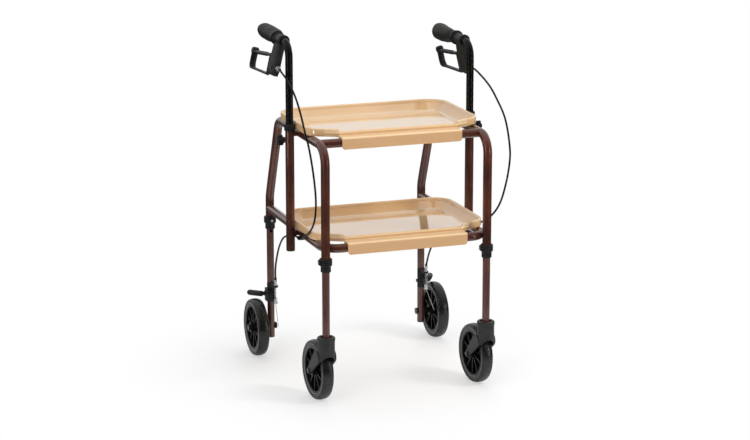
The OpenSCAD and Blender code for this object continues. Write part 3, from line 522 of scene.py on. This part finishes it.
def edge_softener():
    """A node group that joins split corners and keeps only true edges sharp."""
    group = bpy.data.node_groups.new("soft_edges", "GeometryNodeTree")
    for way in ("INPUT", "OUTPUT"):
        group.interface.new_socket("Geometry", in_out=way, socket_type="NodeSocketGeometry")
    start = group.nodes.new("NodeGroupInput")
    end = group.nodes.new("NodeGroupOutput")
    merge = group.nodes.new("GeometryNodeMergeByDistance")
    merge.inputs["Distance"].default_value = MERGE_GAP
    smooth = group.nodes.new("GeometryNodeSetShadeSmooth")
    angle = group.nodes.new("GeometryNodeInputMeshEdgeAngle")
    over = group.nodes.new("FunctionNodeCompare")
    over.operation = "GREATER_THAN"
    over.inputs[1].default_value = CAD_EDGE_ANGLE
    sharpen = group.nodes.new("GeometryNodeSetShadeSmooth")
    sharpen.domain = "EDGE"
    sharpen.inputs["Shade Smooth"].default_value = False
    group.links.new(start.outputs[0], merge.inputs["Geometry"])
    group.links.new(merge.outputs["Geometry"], smooth.inputs["Geometry"])
    group.links.new(angle.outputs["Unsigned Angle"], over.inputs[0])
    group.links.new(over.outputs["Result"], sharpen.inputs["Selection"])
    group.links.new(smooth.outputs["Geometry"], sharpen.inputs["Geometry"])
    group.links.new(sharpen.outputs["Geometry"], end.inputs[0])
    return group


SOFT_EDGES = edge_softener()


def dress(node, surface, rounding=0.0):
    """Gives a CAD node its material, and rounds its edges a little where rounding says so."""
    piece = NODES[node]
    piece.data.materials.clear()
    piece.data.materials.append(surface)
    joined = piece.modifiers.new("soft_edges", "NODES")
    joined.node_group = SOFT_EDGES
    if rounding > 0:
        bevel = piece.modifiers.new("rounding", "BEVEL")
        bevel.width = rounding
        bevel.segments = 2
        bevel.limit_method = "ANGLE"
        bevel.angle_limit = CAD_EDGE_ANGLE
        bevel.harden_normals = True
    return piece


# CAD nodes that keep their shapes

for name in ("right_side_frame", "left_side_frame", "lower_rail", "front_crossbar", "handle_posts"):
    dress(name, BRONZE)
dress("tube_collars", BLACK_PLASTIC, 0.4 * MM)
dress("cable_clips", BLACK_PLASTIC, 0.5 * MM)
for tray, surface in TANS.items():
    flat = dress(tray, surface, 0.8 * MM).modifiers.new("flat_floor", "WEIGHTED_NORMAL")
    flat.keep_sharp = True
for side in SIDES:
    dress(f"{side}_handle_tube", BLACK_TUBE)
    dress(f"{side}_clamp_knob", BLACK_PLASTIC, 0.8 * MM)
    dress(f"{side}_rear_leg", LEG_BRONZE)
    dress(f"{side}_front_leg", LEG_BRONZE)
    dress(f"{side}_brake_bracket", BLACK_PLASTIC, 0.5 * MM)
    dress(f"{side}_brake_arm", BLACK_PLASTIC, 0.5 * MM)
    dress(f"{side}_caster_fork", FORK_PLASTIC, 1.0 * MM)
    for wheel in ("rear", "caster"):
        dress(f"{side}_{wheel}_hub", HUB_PLASTIC, 0.4 * MM)
    for part in ("cable_adjuster", "leg_adjuster", "cable_anchor", "rear_button", "front_button"):
        dress(f"{side}_{part}", STEEL, 0.3 * MM)
    for part in ("lever_pin", "rear_fasteners", "caster_axle"):
        dress(f"{side}_{part}", DARK_STEEL, 0.3 * MM)


# Tray skirts

# The left corners of a tray's rim: x and y from the middle of the front bar, and the radius
TRAY_CORNERS = [(159, 15, 44), (227, 51, 44), (227, 314, 54)]
CORNER_STEPS = 6
BAR_TO_LIP = 14.4 * MM
FLOOR_TO_BAR = 7.2 * MM
# A skirt's section: how far inside the rim's outline, and how far over the bar's middle
SKIRT = [(3.0, 20.6), (2.9, 13.0), (2.6, 12.1), (1.8, 11.6), (1.0, 12.0), (0.5, 13.0),
         (-0.05, 22.4), (0.4, 23.2)]


def tray_outline(inset):
    """A rim's outline moved inward, in millimetres from the middle of the tray's front bar."""
    corners = TRAY_CORNERS + [(-x, y, radius) for x, y, radius in reversed(TRAY_CORNERS)]
    found = []
    for i, (x, y, radius) in enumerate(corners):
        here = Vector((x, y))
        before = (here - Vector(corners[i - 1][:2])).normalized()
        after = (Vector(corners[(i + 1) % len(corners)][:2]) - here).normalized()
        first, second = Vector((-before.y, before.x)), Vector((-after.y, after.x))
        middle = here + (first + second) * radius / (1 + first.dot(second))
        for k in range(CORNER_STEPS + 1):
            way = first.lerp(second, k / CORNER_STEPS).normalized()
            found.append(middle - (radius - inset) * way)
    return found


def skirt(tray, surface):
    """The band under a tray's rim, which hides the slope behind it and stops short of the rail."""
    bar_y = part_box(tray)[0].y + BAR_TO_LIP
    bar_z = floor_height(tray) - FLOOR_TO_BAR
    rings = [[Vector((p.x * MM, bar_y + p.y * MM, bar_z + up * MM)) for p in tray_outline(inset)]
             for inset, up in SKIRT]
    faces = grid_faces(len(rings), len(rings[0]), closed_rings=True)
    add_piece(f"{tray}_skirt", [p for ring in rings for p in ring], faces, surface,
              NODES[tray]["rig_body"])


for tray, surface in TANS.items():
    skirt(tray, surface)


# Tyres

TYRE_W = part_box("left_rear_tyre")[1].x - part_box("left_rear_tyre")[0].x
TYRE_H = 18 * MM
SHOULDER = 0.42 * TYRE_H
CROWN_POWER = 0.7
CROWN_STEP = 6
TYRE_SEGMENTS = 128
# One side wall: how far out from the bead, and the share of the tyre's half width
SIDE_WALL = [(0, 0.8), (0.9, 0.93), (2.4, 0.985), (3.8, 0.95), (4.6, 0.93), (6.2, 0.97)]


def tyre_profile(tread_r):
    """A closed section as (radius, height): bead, side wall, round crown and back."""
    half = TYRE_W / 2
    bead_r = tread_r - TYRE_H
    crown = []
    for degrees in range(-90, 91, CROWN_STEP):
        angle = math.radians(degrees)
        rise = max(math.cos(angle), 0.0) ** CROWN_POWER
        crown.append((tread_r - SHOULDER + SHOULDER * rise, half * math.sin(angle)))
    wall = [(bead_r + out * MM, half * share) for out, share in SIDE_WALL]
    return [(radius, -height) for radius, height in wall] + crown + wall[::-1]


def tyre(side, wheel, spin):
    node = f"{side}_{wheel}_tyre"
    low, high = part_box(node)
    centre = (low + high) / 2
    axis = Vector(JOINTS[spin]["axis"])
    tread_r = (high.z - low.z) / 2
    surface = tyre_rubber(f"{node}_rubber", centre, axis, tread_r, tread_r - TYRE_H)
    vertices, faces = lathe(tyre_profile(tread_r), axis_place(centre, axis), TYRE_SEGMENTS,
                            closed=True)
    piece = add_piece(f"{node}_moulded", vertices, faces, surface, NODES[node]["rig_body"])
    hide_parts(node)


for side in SIDES:
    tyre(side, "rear", f"{side}_rear_wheel_spin")
    tyre(side, "caster", f"{side}_caster_spin")


# Handles

HANDLE_FOOT_Y = JOINTS["left_knob_turn"]["pos_m"][1]
BRAKE_TILT = math.radians(13)


def handle_place(side, tilt):
    """A handle's own axes: +X outward, +Y back along the grip, +Z up, its foot tilted outward."""
    middle = node_middle(f"{side}_grip")
    way = OUTWARD[side]
    axes = Matrix(((way * math.cos(tilt), 0, -way * math.sin(tilt)), (0, 1, 0),
                   (math.sin(tilt), 0, math.cos(tilt)))).to_4x4()
    return Matrix.Translation(Vector((middle.x, HANDLE_FOOT_Y, middle.z))) @ axes


# Grips

GRIP_FROM = 93 * MM
GRIP_L = 137 * MM
GRIP_SIDES = 64
GRIP_ROLL = math.radians(-55)
# A grip's radii by the share of its length: to the palm, away from it, inward and outward
GRIP_RADII = [
    [(0.04, 16.2), (0.16, 16.8), (0.36, 22.0), (0.6, 24.5), (0.85, 24.0), (1.0, 22.0)],
    [(0.04, 15.8), (0.25, 15.0), (0.5, 17.0), (0.8, 20.0), (1.0, 19.0)],
    [(0.04, 17.2), (0.2, 22.5), (0.6, 23.5), (0.85, 22.5), (1.0, 20.0)],
    [(0.04, 15.8), (0.3, 15.0), (0.6, 16.0), (0.85, 15.5), (1.0, 14.5)],
]
FLANGE_END = 0.036
FLANGE_FLAT = (0.003, 0.03)
FLANGE_R = 17.4
FLANGE_EDGE_R = 16.9
GROOVES_FROM = 0.05
GROOVES_END = 0.3
GROOVE_W = 0.025
GROOVE_DEPTH = 0.35
GRIP_END_FROM = 0.85
GRIP_END_L = 0.15
GRIP_END_STEPS = 18
GRIP_END_POWER = 0.8
GRIP_STOPS = (
    [0, 0.004, 0.02, 0.032, 0.04] + [GROOVES_FROM + GROOVE_W / 2 * k for k in range(63)]
    + [GRIP_END_FROM + GRIP_END_L * math.sin(math.pi / 2 * k / GRIP_END_STEPS)
       for k in range(1, GRIP_END_STEPS)] + [0.9995])
RING_GAP = 0.6 * MM
GRIP_RING = [(9.6, 0), (17.2, 0), (18.3, 0.9), (18.5, 2.4), (18.2, 4.2), (17.0, 5.2), (14.0, 5.2),
             (14.0, 3.0), (9.6, 3.0)]


def grip_radii(t):
    """The four radii at a share of the grip's length, with its flange, grooves and round end."""
    if t < FLANGE_END:
        return [FLANGE_R if FLANGE_FLAT[0] < t < FLANGE_FLAT[1] else FLANGE_EDGE_R] * 4
    radii = [eased(t, places) for places in GRIP_RADII]
    if t < GROOVES_END and int((t - GROOVES_FROM) / GROOVE_W) % 2:
        radii = [radius - GROOVE_DEPTH for radius in radii]
    if t > GRIP_END_FROM:
        left = max(1 - ((t - GRIP_END_FROM) / GRIP_END_L) ** 2, 0.0)
        radii = [radius * math.sqrt(left) ** GRIP_END_POWER for radius in radii]
    return radii


def grip(side):
    """A soft grip: a flange, a waist, and a palm rest that widens down and inward."""
    node = f"{side}_grip"
    rings = []
    for t in GRIP_STOPS:
        palm, back, inner, outer = grip_radii(t)
        ring = []
        for angle in turns(GRIP_SIDES):
            out = (palm if math.cos(angle) > 0 else back) * math.cos(angle)
            up = (inner if math.sin(angle) > 0 else outer) * math.sin(angle)
            ring.append((-(out * math.cos(GRIP_ROLL) - up * math.sin(GRIP_ROLL)) * MM,
                         GRIP_FROM + GRIP_L * t,
                         (out * math.sin(GRIP_ROLL) + up * math.cos(GRIP_ROLL)) * MM))
        rings.append(ring)
    vertices, faces = closed_loft(rings, handle_place(side, 0.0), OUTWARD[side] < 0)
    piece = add_piece(f"{node}_moulded", vertices, faces, GRIP_RUBBER, NODES[node]["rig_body"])
    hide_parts(node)


def grip_ring(side):
    """The black ring between a brake housing and its grip."""
    start = handle_place(side, 0.0) @ Vector((0, GRIP_FROM - RING_GAP, 0))
    vertices, faces = lathe(scaled(GRIP_RING), axis_place(start, (0, 1, 0)), 64, closed=True)
    add_piece(f"{side}_grip_ring", vertices, faces, LEVER_BLACK, f"{side}_handle")


# Levers, in (back, up) from the grip's axis over the handle's foot

LEVER_PIVOT = (63, -71)
LOOP_LOW = (112, -95)
LOOP_HIGH = (112, -46)
# The loop's corners, each with its radius
LOOP_CORNERS = [(*LOOP_HIGH, 5), (248, -60, 10), (248, -101, 15), (*LOOP_LOW, 5)]
CORNER_CUTS = 7
LOOP_STEP = 1.6
LOOP_SIDES = 20
LOOP_POWER = 0.7
LOOP_SPLIT = -72
BACK_BAR = [(222, 0.0), (244, 1.0)]
FRONT_BAR = [(114, 1.0), (122, 0.0)]
BAR_HALF_W, PULL_BAR_WIDER = 5.0, 3.4
TOP_BAR_R, LOW_BAR_R, PULL_BAR_THICKER = 4.2, 3.3, 0.5
# Ribs on top and finger bumps in front: from, to, pitch and height
TOP_RIBS = (145, 222, 9.5, 1.3)
FINGER_BUMPS = (-92, -50, 10.5, 1.6)
# The thumb knob and the pivot's boss: back, up, radius, half length and bore
LEVER_BOSSES = [(248, -57, 9.0, 8.8, 0.5), (*LEVER_PIVOT, 8.5, 5.0, 2.55)]
ARM_FROM = 7
ARM_R = 4.4


def rounded_path(corners, steps):
    """A closed path of (back, up) points round corners, each given as back, up and radius."""
    found = []
    for i, (back, up, radius) in enumerate(corners):
        here = Vector((back, up))
        to_last = (Vector(corners[i - 1][:2]) - here).normalized()
        to_next = (Vector(corners[(i + 1) % len(corners)][:2]) - here).normalized()
        half = to_last.angle(to_next) / 2
        reach = radius / math.tan(half)
        for k in range(steps + 1):
            t = k / steps
            found.append(here + to_last * reach * (1 - t) ** 2 + to_next * reach * t * t)
    return found


def resampled(path, spacing):
    """A closed path cut into even steps."""
    lengths = [(path[(i + 1) % len(path)] - path[i]).length for i in range(len(path))]
    total = sum(lengths)
    count = int(total / spacing)
    found = []
    i, passed = 0, 0.0
    for k in range(count):
        target = total * k / count
        while passed + lengths[i] < target:
            passed += lengths[i]
            i += 1
        found.append(path[i].lerp(path[(i + 1) % len(path)], (target - passed) / lengths[i]))
    return found


def ripple(value, start, end, pitch, height):
    """The height of rounded ribs between two places, and nothing past them."""
    if not start < value < end:
        return 0.0
    return height * max(math.sin(2 * math.pi * (value - start) / pitch), 0.0)


def boss_profile(radius, half, bore):
    """A bored round boss with eased edges, from -half to half."""
    ease = 0.4 * half
    slope = [(radius - 0.8 * ease, half), (radius - 0.28 * ease, half - 0.28 * ease),
             (radius, half - ease)]
    low = [(bore, -half)] + [(r, -h) for r, h in slope]
    return low + slope[::-1] + [(bore, half)]


def lever(side):
    """A loop lever: round bars, finger bumps in front, ribs on top, a pull bar and a thumb knob."""
    node = f"{side}_brake_lever"
    place = handle_place(side, BRAKE_TILT)
    path = resampled(rounded_path(LOOP_CORNERS, CORNER_CUTS), LOOP_STEP)
    vertices = []
    for i, point in enumerate(path):
        along = (path[(i + 1) % len(path)] - path[i - 1]).normalized()
        normal = Vector((-along.y, along.x))
        at_back = eased(point.x, BACK_BAR)
        on_top = point.y > LOOP_SPLIT
        wide = BAR_HALF_W + PULL_BAR_WIDER * at_back
        thick = (TOP_BAR_R if on_top else LOW_BAR_R) + PULL_BAR_THICKER * at_back
        if on_top:
            thick += ripple(point.x, *TOP_RIBS)
        if eased(point.x, FRONT_BAR) > 0.5:
            thick += ripple(point.y, *FINGER_BUMPS)
        for angle in turns(LOOP_SIDES):
            u = wide * blunted(math.cos(angle), LOOP_POWER)
            n = thick * blunted(math.sin(angle), LOOP_POWER)
            vertices.append(place @ Vector((u * MM, (point.x + n * normal.x) * MM,
                                            (point.y + n * normal.y) * MM)))
    faces = grid_faces(len(path), LOOP_SIDES, closed_rings=True)
    if OUTWARD[side] > 0:
        faces = [tuple(reversed(face)) for face in faces]
    parts = [(vertices, faces)]
    across = place.to_3x3() @ Vector((1, 0, 0))
    for back, up, radius, half, bore in LEVER_BOSSES:
        middle = place @ Vector((0, back * MM, up * MM))
        parts.append(lathe(scaled(boss_profile(radius, half, bore)), axis_place(middle, across), 40,
                           closed=True))
    start = place @ Vector((0, LEVER_PIVOT[0] * MM, LEVER_PIVOT[1] * MM))
    for back, up in (LOOP_LOW, LOOP_HIGH):
        stop = place @ Vector((0, back * MM, up * MM))
        way = (stop - start).normalized()
        points = [start + way * ARM_FROM * MM, start.lerp(stop, 0.5), stop]
        parts.append(sweep(points, ARM_R * MM, sides=20))
    vertices, faces = join(parts)
    piece = add_piece(f"{node}_moulded", vertices, faces, LEVER_BLACK, NODES[node]["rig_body"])
    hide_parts(node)


# Brake housings, in levels down from the grip's axis

HOUSING_LEVELS = [9, 14, 20, 26, 32, 34.5, 35.5, 40, 48, 56, 64, 70, 75, 79, 82.5, 85.5, 88, 89.8,
                  90.7, 91]
HOUSING_FRONT = 46
HOUSING_BACK = [(9, 88), (30, 93), (60, 101), (91, 104)]
HOUSING_HALF_W = [(9, 10.4), (35, 10.2), (70, 10.5)]
HOUSING_POWER = 0.5
# Where the chin's curves start, and how far below that they would close
CHIN = (76, 15.5)
KEEL = (78, 13.4)
CHIN_FRONT, CHIN_BACK = 13, 15
KEEL_LEFT = 0.6
# The part of the outline that is round, in degrees from the back, and its steps
ROUND_FROM, ROUND_ARC, ROUND_STEPS = 55, 250, 22
CHEEK = 0.97
SLOT_HALF_W = 5.5
SLOT_EDGE = 0.6
SLOT_TOP = 35
SLOT_END = 52
NO_SLOT = 0.02
SLEEVE_BORE, SLEEVE_R, COLLAR_R = 9.55, 12.7, 15.6
SLEEVE = [(SLEEVE_BORE, 40), (COLLAR_R - 1, 40), (COLLAR_R, 41), (COLLAR_R, 43.4),
          (COLLAR_R - 0.8, 44.2), (SLEEVE_R, 44.6), (SLEEVE_R, 87.4), (COLLAR_R - 0.8, 87.8),
          (COLLAR_R, 88.6), (COLLAR_R, 91), (COLLAR_R - 1, 92), (SLEEVE_BORE, 92)]


def closing(down, start, reach):
    """A quarter round that goes from 1 at a start to 0 a reach below it."""
    return math.sqrt(max(1 - (max(down - start, 0.0) / reach) ** 2, 0.0))


def housing_ring(down):
    """A housing's outline at a level, open at the back by the lever's slot."""
    chin = closing(down, *CHIN)
    front = HOUSING_FRONT + CHIN_FRONT * (1 - chin)
    back = eased(down, HOUSING_BACK) - CHIN_BACK * (1 - chin)
    half = eased(down, HOUSING_HALF_W) * (KEEL_LEFT + (1 - KEEL_LEFT) * closing(down, *KEEL))
    cut = NO_SLOT if down < SLOT_TOP else max(back - SLOT_END, NO_SLOT)
    middle, reach = (front + back) / 2, (back - front) / 2
    ring = []
    for k in range(ROUND_STEPS + 1):
        angle = math.radians(ROUND_FROM + ROUND_ARC * k / ROUND_STEPS)
        ring.append((half * blunted(math.sin(angle), HOUSING_POWER),
                     middle + reach * blunted(math.cos(angle), HOUSING_POWER)))
    rear = max(ring[0][1], ring[-1][1])
    step = rear - min(SLOT_EDGE, cut)
    ring = [(half * CHEEK, rear)] + ring + [(-half * CHEEK, rear)]
    ring += [(-SLOT_HALF_W - SLOT_EDGE, rear), (-SLOT_HALF_W, step), (-SLOT_HALF_W, rear - cut),
             (SLOT_HALF_W, rear - cut), (SLOT_HALF_W, step), (SLOT_HALF_W + SLOT_EDGE, rear)]
    return [(u * MM, v * MM, -down * MM) for u, v in ring]


def housing(side):
    """A brake housing: a flanged sleeve round the handle, and a slotted body with a round chin."""
    node = f"{side}_brake_housing"
    place = handle_place(side, BRAKE_TILT)
    along = place.to_3x3() @ Vector((0, 1, 0))
    rings = [housing_ring(down) for down in HOUSING_LEVELS]
    vertices, faces = join([
        closed_loft(rings, place, OUTWARD[side] < 0),
        lathe(scaled(SLEEVE), axis_place(place.translation, along), 72, closed=True),
    ])
    piece = add_piece(f"{node}_moulded", vertices, faces, GREY_PLASTIC, NODES[node]["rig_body"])
    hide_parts(node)


for side in SIDES:
    grip(side)
    grip_ring(side)
    lever(side)
    housing(side)


# Cables

CABLE_R = 2.5 * MM
CABLE_STEPS = 10
CLIP = (227, -90, 388)
UPPER_ROUTE = {
    "right": [(-259, -62, 806), (-257, -102, 793), (-251, -140, 764), (-245, -167, 723),
              (-240, -187, 678), (-236, -205, 643), (-232, -225, 585), (-230, -238, 527),
              (-230, -236, 486), (-231, -221, 452), (-231, -180, 421), (-228, -127, 400),
              (-227, -104, 389.2), (-227, -97, 388)],
    "left": [(261, -62, 780), (266, -135, 755), (268, -183, 726), (271, -232, 685),
             (272, -260, 618), (270, -263, 579), (264, -259, 532), (254, -245, 475),
             (240, -220, 437), (229, -170, 408), (227, -127, 398), (227, -104, 389.2),
             (227, -97, 388)],
}
LOWER_ROUTE = [(227, -65, 387), (227, -30, 380), (226, 40, 360), (222, 94, 322), (218, 129, 285),
               (215, 155, 245)]
# A ferrule's profile: its radius by the cable's, and its height
FERRULE = [(0.9, -6), (1.3, -5.6), (1.34, -1.2), (1.2, -0.4), (0.9, -0.1)]


def in_metres(points, mirror=1.0):
    return [Vector((mirror * x, y, z)) * MM for x, y, z in points]


def cable(name, node, route):
    vertices, faces = sweep(smooth_route(route, CABLE_STEPS), CABLE_R)
    piece = add_piece(name, vertices, faces, VINYL, None)
    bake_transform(piece)
    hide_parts(node)


def ferrule(name, place, tray_tones_and_light):
    """The crimped end cap of a cable, with its mouth along local +Z."""
    profile = [(CABLE_R * share, height * MM) for share, height in FERRULE]
    vertices, faces = lathe(profile, place, 32)
    add_piece(name, vertices, faces, BLACK_PLASTIC, tray_tones_and_light)


for side in SIDES:
    way = OUTWARD[side]
    clip = in_metres([CLIP], way)[0]
    adjuster = node_middle(f"{side}_cable_adjuster")
    leaving = Vector((adjuster.x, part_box(f"{side}_cable_adjuster")[0].y, adjuster.z))
    cable(f"{side}_upper_cable_cover", f"{side}_upper_cable",
          [leaving] + in_metres(UPPER_ROUTE[side]) + [clip])
    barrel = node_middle(f"{side}_leg_adjuster")
    foot = Vector((barrel.x, barrel.y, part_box(f"{side}_leg_adjuster")[1].z))
    cable(f"{side}_lower_cable_cover", f"{side}_lower_cable",
          [clip] + in_metres(LOWER_ROUTE, way) + [foot])
    ferrule(f"{side}_upper_ferrule", axis_place(leaving, (0, 1, 0)), f"{side}_handle")
    ferrule(f"{side}_lower_ferrule", axis_place(foot, (0, 0, -1)), f"{side}_rear_leg")


# Return springs

SPRING_WIRE_R = 0.45 * MM
SPRING_CURLS = 8
CURL_STEPS = 24


def return_spring(side):
    """A wound spring that fills the box of the CAD spring and rides on the rear leg."""
    node = f"{side}_return_spring"
    low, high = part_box(node)
    middle = (low + high) / 2
    coil_r = (high.x - low.x) / 2 - SPRING_WIRE_R
    bottom = low.z + SPRING_WIRE_R
    rise = high.z - low.z - 2 * SPRING_WIRE_R
    steps = CURL_STEPS * SPRING_CURLS
    points = []
    for k in range(steps + 1):
        angle = 2 * math.pi * SPRING_CURLS * k / steps
        points.append(Vector((middle.x + OUTWARD[side] * coil_r * math.cos(angle),
                              middle.y + coil_r * math.sin(angle), bottom + rise * k / steps)))
    vertices, faces = sweep(points, SPRING_WIRE_R, sides=8)
    piece = add_piece(f"{node}_wound", vertices, faces, STEEL, f"{side}_rear_leg")
    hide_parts(node)
    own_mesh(piece)


for side in SIDES:
    return_spring(side)


# Small fittings

TUBE_R = 11.1 * MM
SLIDER_R = 9.5 * MM
PLUG_WALL = 1.5 * MM
PLUG_BOTTOM = -2.2
# A plug's rim under its tube: how far inside the tube's outside, and the height
PLUG_RIM = [(1.4, PLUG_BOTTOM), (0.3, -1.5), (0.1, -0.4), (0.4, -0.05)]
NUT_AT = (0, 41.2, -70)
LOCK_NUT = [(3.6, 0), (5.6, 0), (6.6, 0.5), (6.6, 3.9), (5.6, 4.4), (3.6, 4.4)]
SEAM_Z = 417 * MM
# A seam ring's section: how far outside the tube, and the height
SEAM_RING = [(-0.2, -0.8), (0.15, -0.8), (0.35, 0.0), (0.15, 0.8), (-0.2, 0.8)]


def end_plug(name, end, outer_r, tray_tones_and_light):
    """A black plug in the lower end of a tube, with a rounded rim under the tube."""
    bore_r = outer_r - PLUG_WALL
    profile = [(bore_r * 0.5, PLUG_BOTTOM * MM)]
    profile += [(outer_r - inside * MM, height * MM) for inside, height in PLUG_RIM]
    profile += [(bore_r, -0.05 * MM), (bore_r - 0.1 * MM, 6 * MM)]
    vertices, faces = lathe(profile, Matrix.Translation(end), 48)
    add_piece(name, vertices, faces, BLACK_PLASTIC, tray_tones_and_light)


def lock_nut(side):
    """A six-sided nut that locks the barrel adjuster against the brake housing."""
    start = handle_place(side, BRAKE_TILT) @ (Vector(NUT_AT) * MM)
    vertices, faces = lathe(scaled(LOCK_NUT), axis_place(start, (0, 1, 0)), 6, closed=True)
    add_piece(f"{side}_lock_nut", vertices, faces, STEEL, f"{side}_handle")


def seam_ring(side):
    """The dark line round a rear frame tube where its bend starts."""
    wheel_y = JOINTS[f"{side}_rear_wheel_spin"]["pos_m"][1]
    centre = Vector((node_middle(f"{side}_rear_leg").x, wheel_y, SEAM_Z))
    profile = [(TUBE_R + out * MM, height * MM) for out, height in SEAM_RING]
    vertices, faces = lathe(profile, Matrix.Translation(centre), 48, closed=True)
    add_piece(f"{side}_seam_ring", vertices, faces, BLACK_PLASTIC, "frame")


post_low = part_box("handle_posts")[0].z
for side in SIDES:
    post = Vector(JOINTS[f"{side}_knob_turn"]["pos_m"])
    end_plug(f"{side}_post_plug", Vector((post.x, post.y, post_low)), TUBE_R, "frame")
    leg = node_middle(f"{side}_rear_leg")
    leg_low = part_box(f"{side}_rear_leg")[0].z
    end_plug(f"{side}_leg_plug", Vector((leg.x, leg.y, leg_low)), SLIDER_R, f"{side}_rear_leg")
    lock_nut(side)
    seam_ring(side)


# Studio

PHOTO_W = 750
PHOTO_FOCAL_PX = 2304.62
PHOTO_MIDDLE_X = 376
SENSOR_W = 36.0
CAMERA_AZIMUTH = math.radians(-19.56)
CAMERA_ELEVATION = math.radians(13.86)
CAMERA_DISTANCE = 5.91529
CAMERA_TARGET = (0.00086, -0.02675, 0.4013)
CAMERA_CLIP = 100
WHITE = (1, 1, 1, 1)
EVEN_LIGHT = 0.5
BRIGHT_WAY = (0, 0.7, 0.7)
FLOOR_REACH = 30.0
FLOOR_GREY = (0.88, 0.88, 0.88, 1)


def add_object(name, data):
    made = bpy.data.objects.new(name, data)
    bpy.context.scene.collection.objects.link(made)
    return made


def aim(made, way):
    """Turns a camera or a lamp so that it looks along a direction."""
    made.rotation_mode = "QUATERNION"
    made.rotation_quaternion = way.to_track_quat("-Z", "Y")


def camera():
    """The photograph's own view: far off, a little above and to the user's right of the front."""
    back = Vector((math.sin(CAMERA_AZIMUTH) * math.cos(CAMERA_ELEVATION),
                   -math.cos(CAMERA_AZIMUTH) * math.cos(CAMERA_ELEVATION),
                   math.sin(CAMERA_ELEVATION)))
    data = bpy.data.cameras.new("camera")
    data.sensor_width = SENSOR_W
    data.lens = PHOTO_FOCAL_PX * SENSOR_W / PHOTO_W
    data.shift_x = (PHOTO_W / 2 - PHOTO_MIDDLE_X) / PHOTO_W
    data.clip_end = CAMERA_CLIP
    made = add_object("camera", data)
    made.location = Vector(CAMERA_TARGET) + back * CAMERA_DISTANCE
    aim(made, -back)
    bpy.context.scene.camera = made


def area_light(name, place, target, size, power, height=None, in_gloss=False):
    """A round lamp, or an upright strip where a height is given; some show in reflections."""
    data = bpy.data.lights.new(name, "AREA")
    data.shape = "RECTANGLE" if height else "DISK"
    data.size = size
    data.size_y = height or size
    data.energy = power
    made = add_object(name, data)
    made.location = place
    made.visible_glossy = in_gloss
    aim(made, Vector(target) - Vector(place))


def instead(made, ray, plain, other):
    """One shader for a kind of ray, and the plain one for all the rest."""
    path = add_node(made, "ShaderNodeLightPath")
    node = add_node(made, "ShaderNodeMixShader")
    link(made, path.outputs[ray], node.inputs["Fac"])
    link(made, plain, node.inputs[1])
    link(made, other, node.inputs[2])
    return node.outputs["Shader"]


def world():
    """Even light; white to the camera; in reflections white behind and above, and dim in front."""
    made = bpy.data.worlds.new("studio")
    made.use_nodes = True
    plain = made.node_tree.nodes["Background"]
    plain.inputs["Color"].default_value = WHITE
    plain.inputs["Strength"].default_value = EVEN_LIGHT
    room = add_node(made, "ShaderNodeBackground")
    toward = add_node(made, "ShaderNodeVectorMath", operation="DOT_PRODUCT")
    toward.inputs[1].default_value = BRIGHT_WAY
    coordinates = add_node(made, "ShaderNodeTexCoord")
    link(made, coordinates.outputs["Generated"], toward.inputs[0])
    strength = spread(made, toward.outputs["Value"], 0.08, 1.0, -0.3, 0.6, step="SMOOTHSTEP")
    link(made, strength, room.inputs["Strength"])
    seen = add_node(made, "ShaderNodeBackground")
    seen.inputs["Color"].default_value = WHITE
    lit = instead(made, "Is Glossy Ray", plain.outputs[0], room.outputs[0])
    shown = instead(made, "Is Camera Ray", lit, seen.outputs[0])
    link(made, shown, made.node_tree.nodes["World Output"].inputs["Surface"])
    bpy.context.scene.world = made


def floor():
    """A wide pale floor: it keeps the soft shadow and goes to plain white around it."""
    corners = [(x * FLOOR_REACH, y * FLOOR_REACH, 0)
               for x, y in ((-1, -1), (1, -1), (1, 1), (-1, 1))]
    mesh = bpy.data.meshes.new("floor")
    mesh.from_pydata(corners, [], [(0, 1, 2, 3)])
    surface = new_material("floor_paper", FLOOR_GREY, 0.9, specular=0.0)
    paper = surface.node_tree.nodes["Principled BSDF"].outputs["BSDF"]
    coordinates = add_node(surface, "ShaderNodeTexCoord")
    distance = add_node(surface, "ShaderNodeVectorMath", operation="LENGTH")
    link(surface, coordinates.outputs["Object"], distance.inputs[0])

    def around(strength, start, end, near):
        """The floor with a share of even light near the walker, and only that light far off."""
        even = add_node(surface, "ShaderNodeEmission")
        even.inputs["Strength"].default_value = strength
        node = add_node(surface, "ShaderNodeMixShader")
        share = spread(surface, distance.outputs["Value"], near, 1.0, start, end, step="SMOOTHSTEP")
        link(surface, share, node.inputs["Fac"])
        link(surface, paper, node.inputs[1])
        link(surface, even.outputs["Emission"], node.inputs[2])
        return node.outputs["Shader"]

    lit = instead(surface, "Is Glossy Ray", paper, around(0.1, 0.35, 1.3, 0.0))
    shown = instead(surface, "Is Camera Ray", lit, around(1.0, 0.28, 0.7, 0.5))
    link(surface, shown, surface.node_tree.nodes["Material Output"].inputs["Surface"])
    mesh.materials.append(surface)
    add_object("floor", mesh)


camera()
world()
floor()
area_light("key", (2.2, -2.0, 2.4), (0, 0, 0.4), 1.0, 50)
area_light("fill", (-2.2, -2.2, 2.0), (0, 0, 0.4), 1.6, 22)
area_light("right_strip", (2.0, -2.6, 0.9), (0, 0, 0.6), 0.12, 12, height=2.0, in_gloss=True)
area_light("left_strip", (-2.6, -1.2, 0.9), (0, 0, 0.6), 0.12, 9, height=2.0, in_gloss=True)
area_light("back", (0.8, 2.4, 2.8), (0, 0, 0.5), 2.0, 34)
area_light("top", (0.2, -0.2, 3.6), (0, 0, 0), 2.4, 26)
bpy.context.scene.view_settings.view_transform = "Standard"
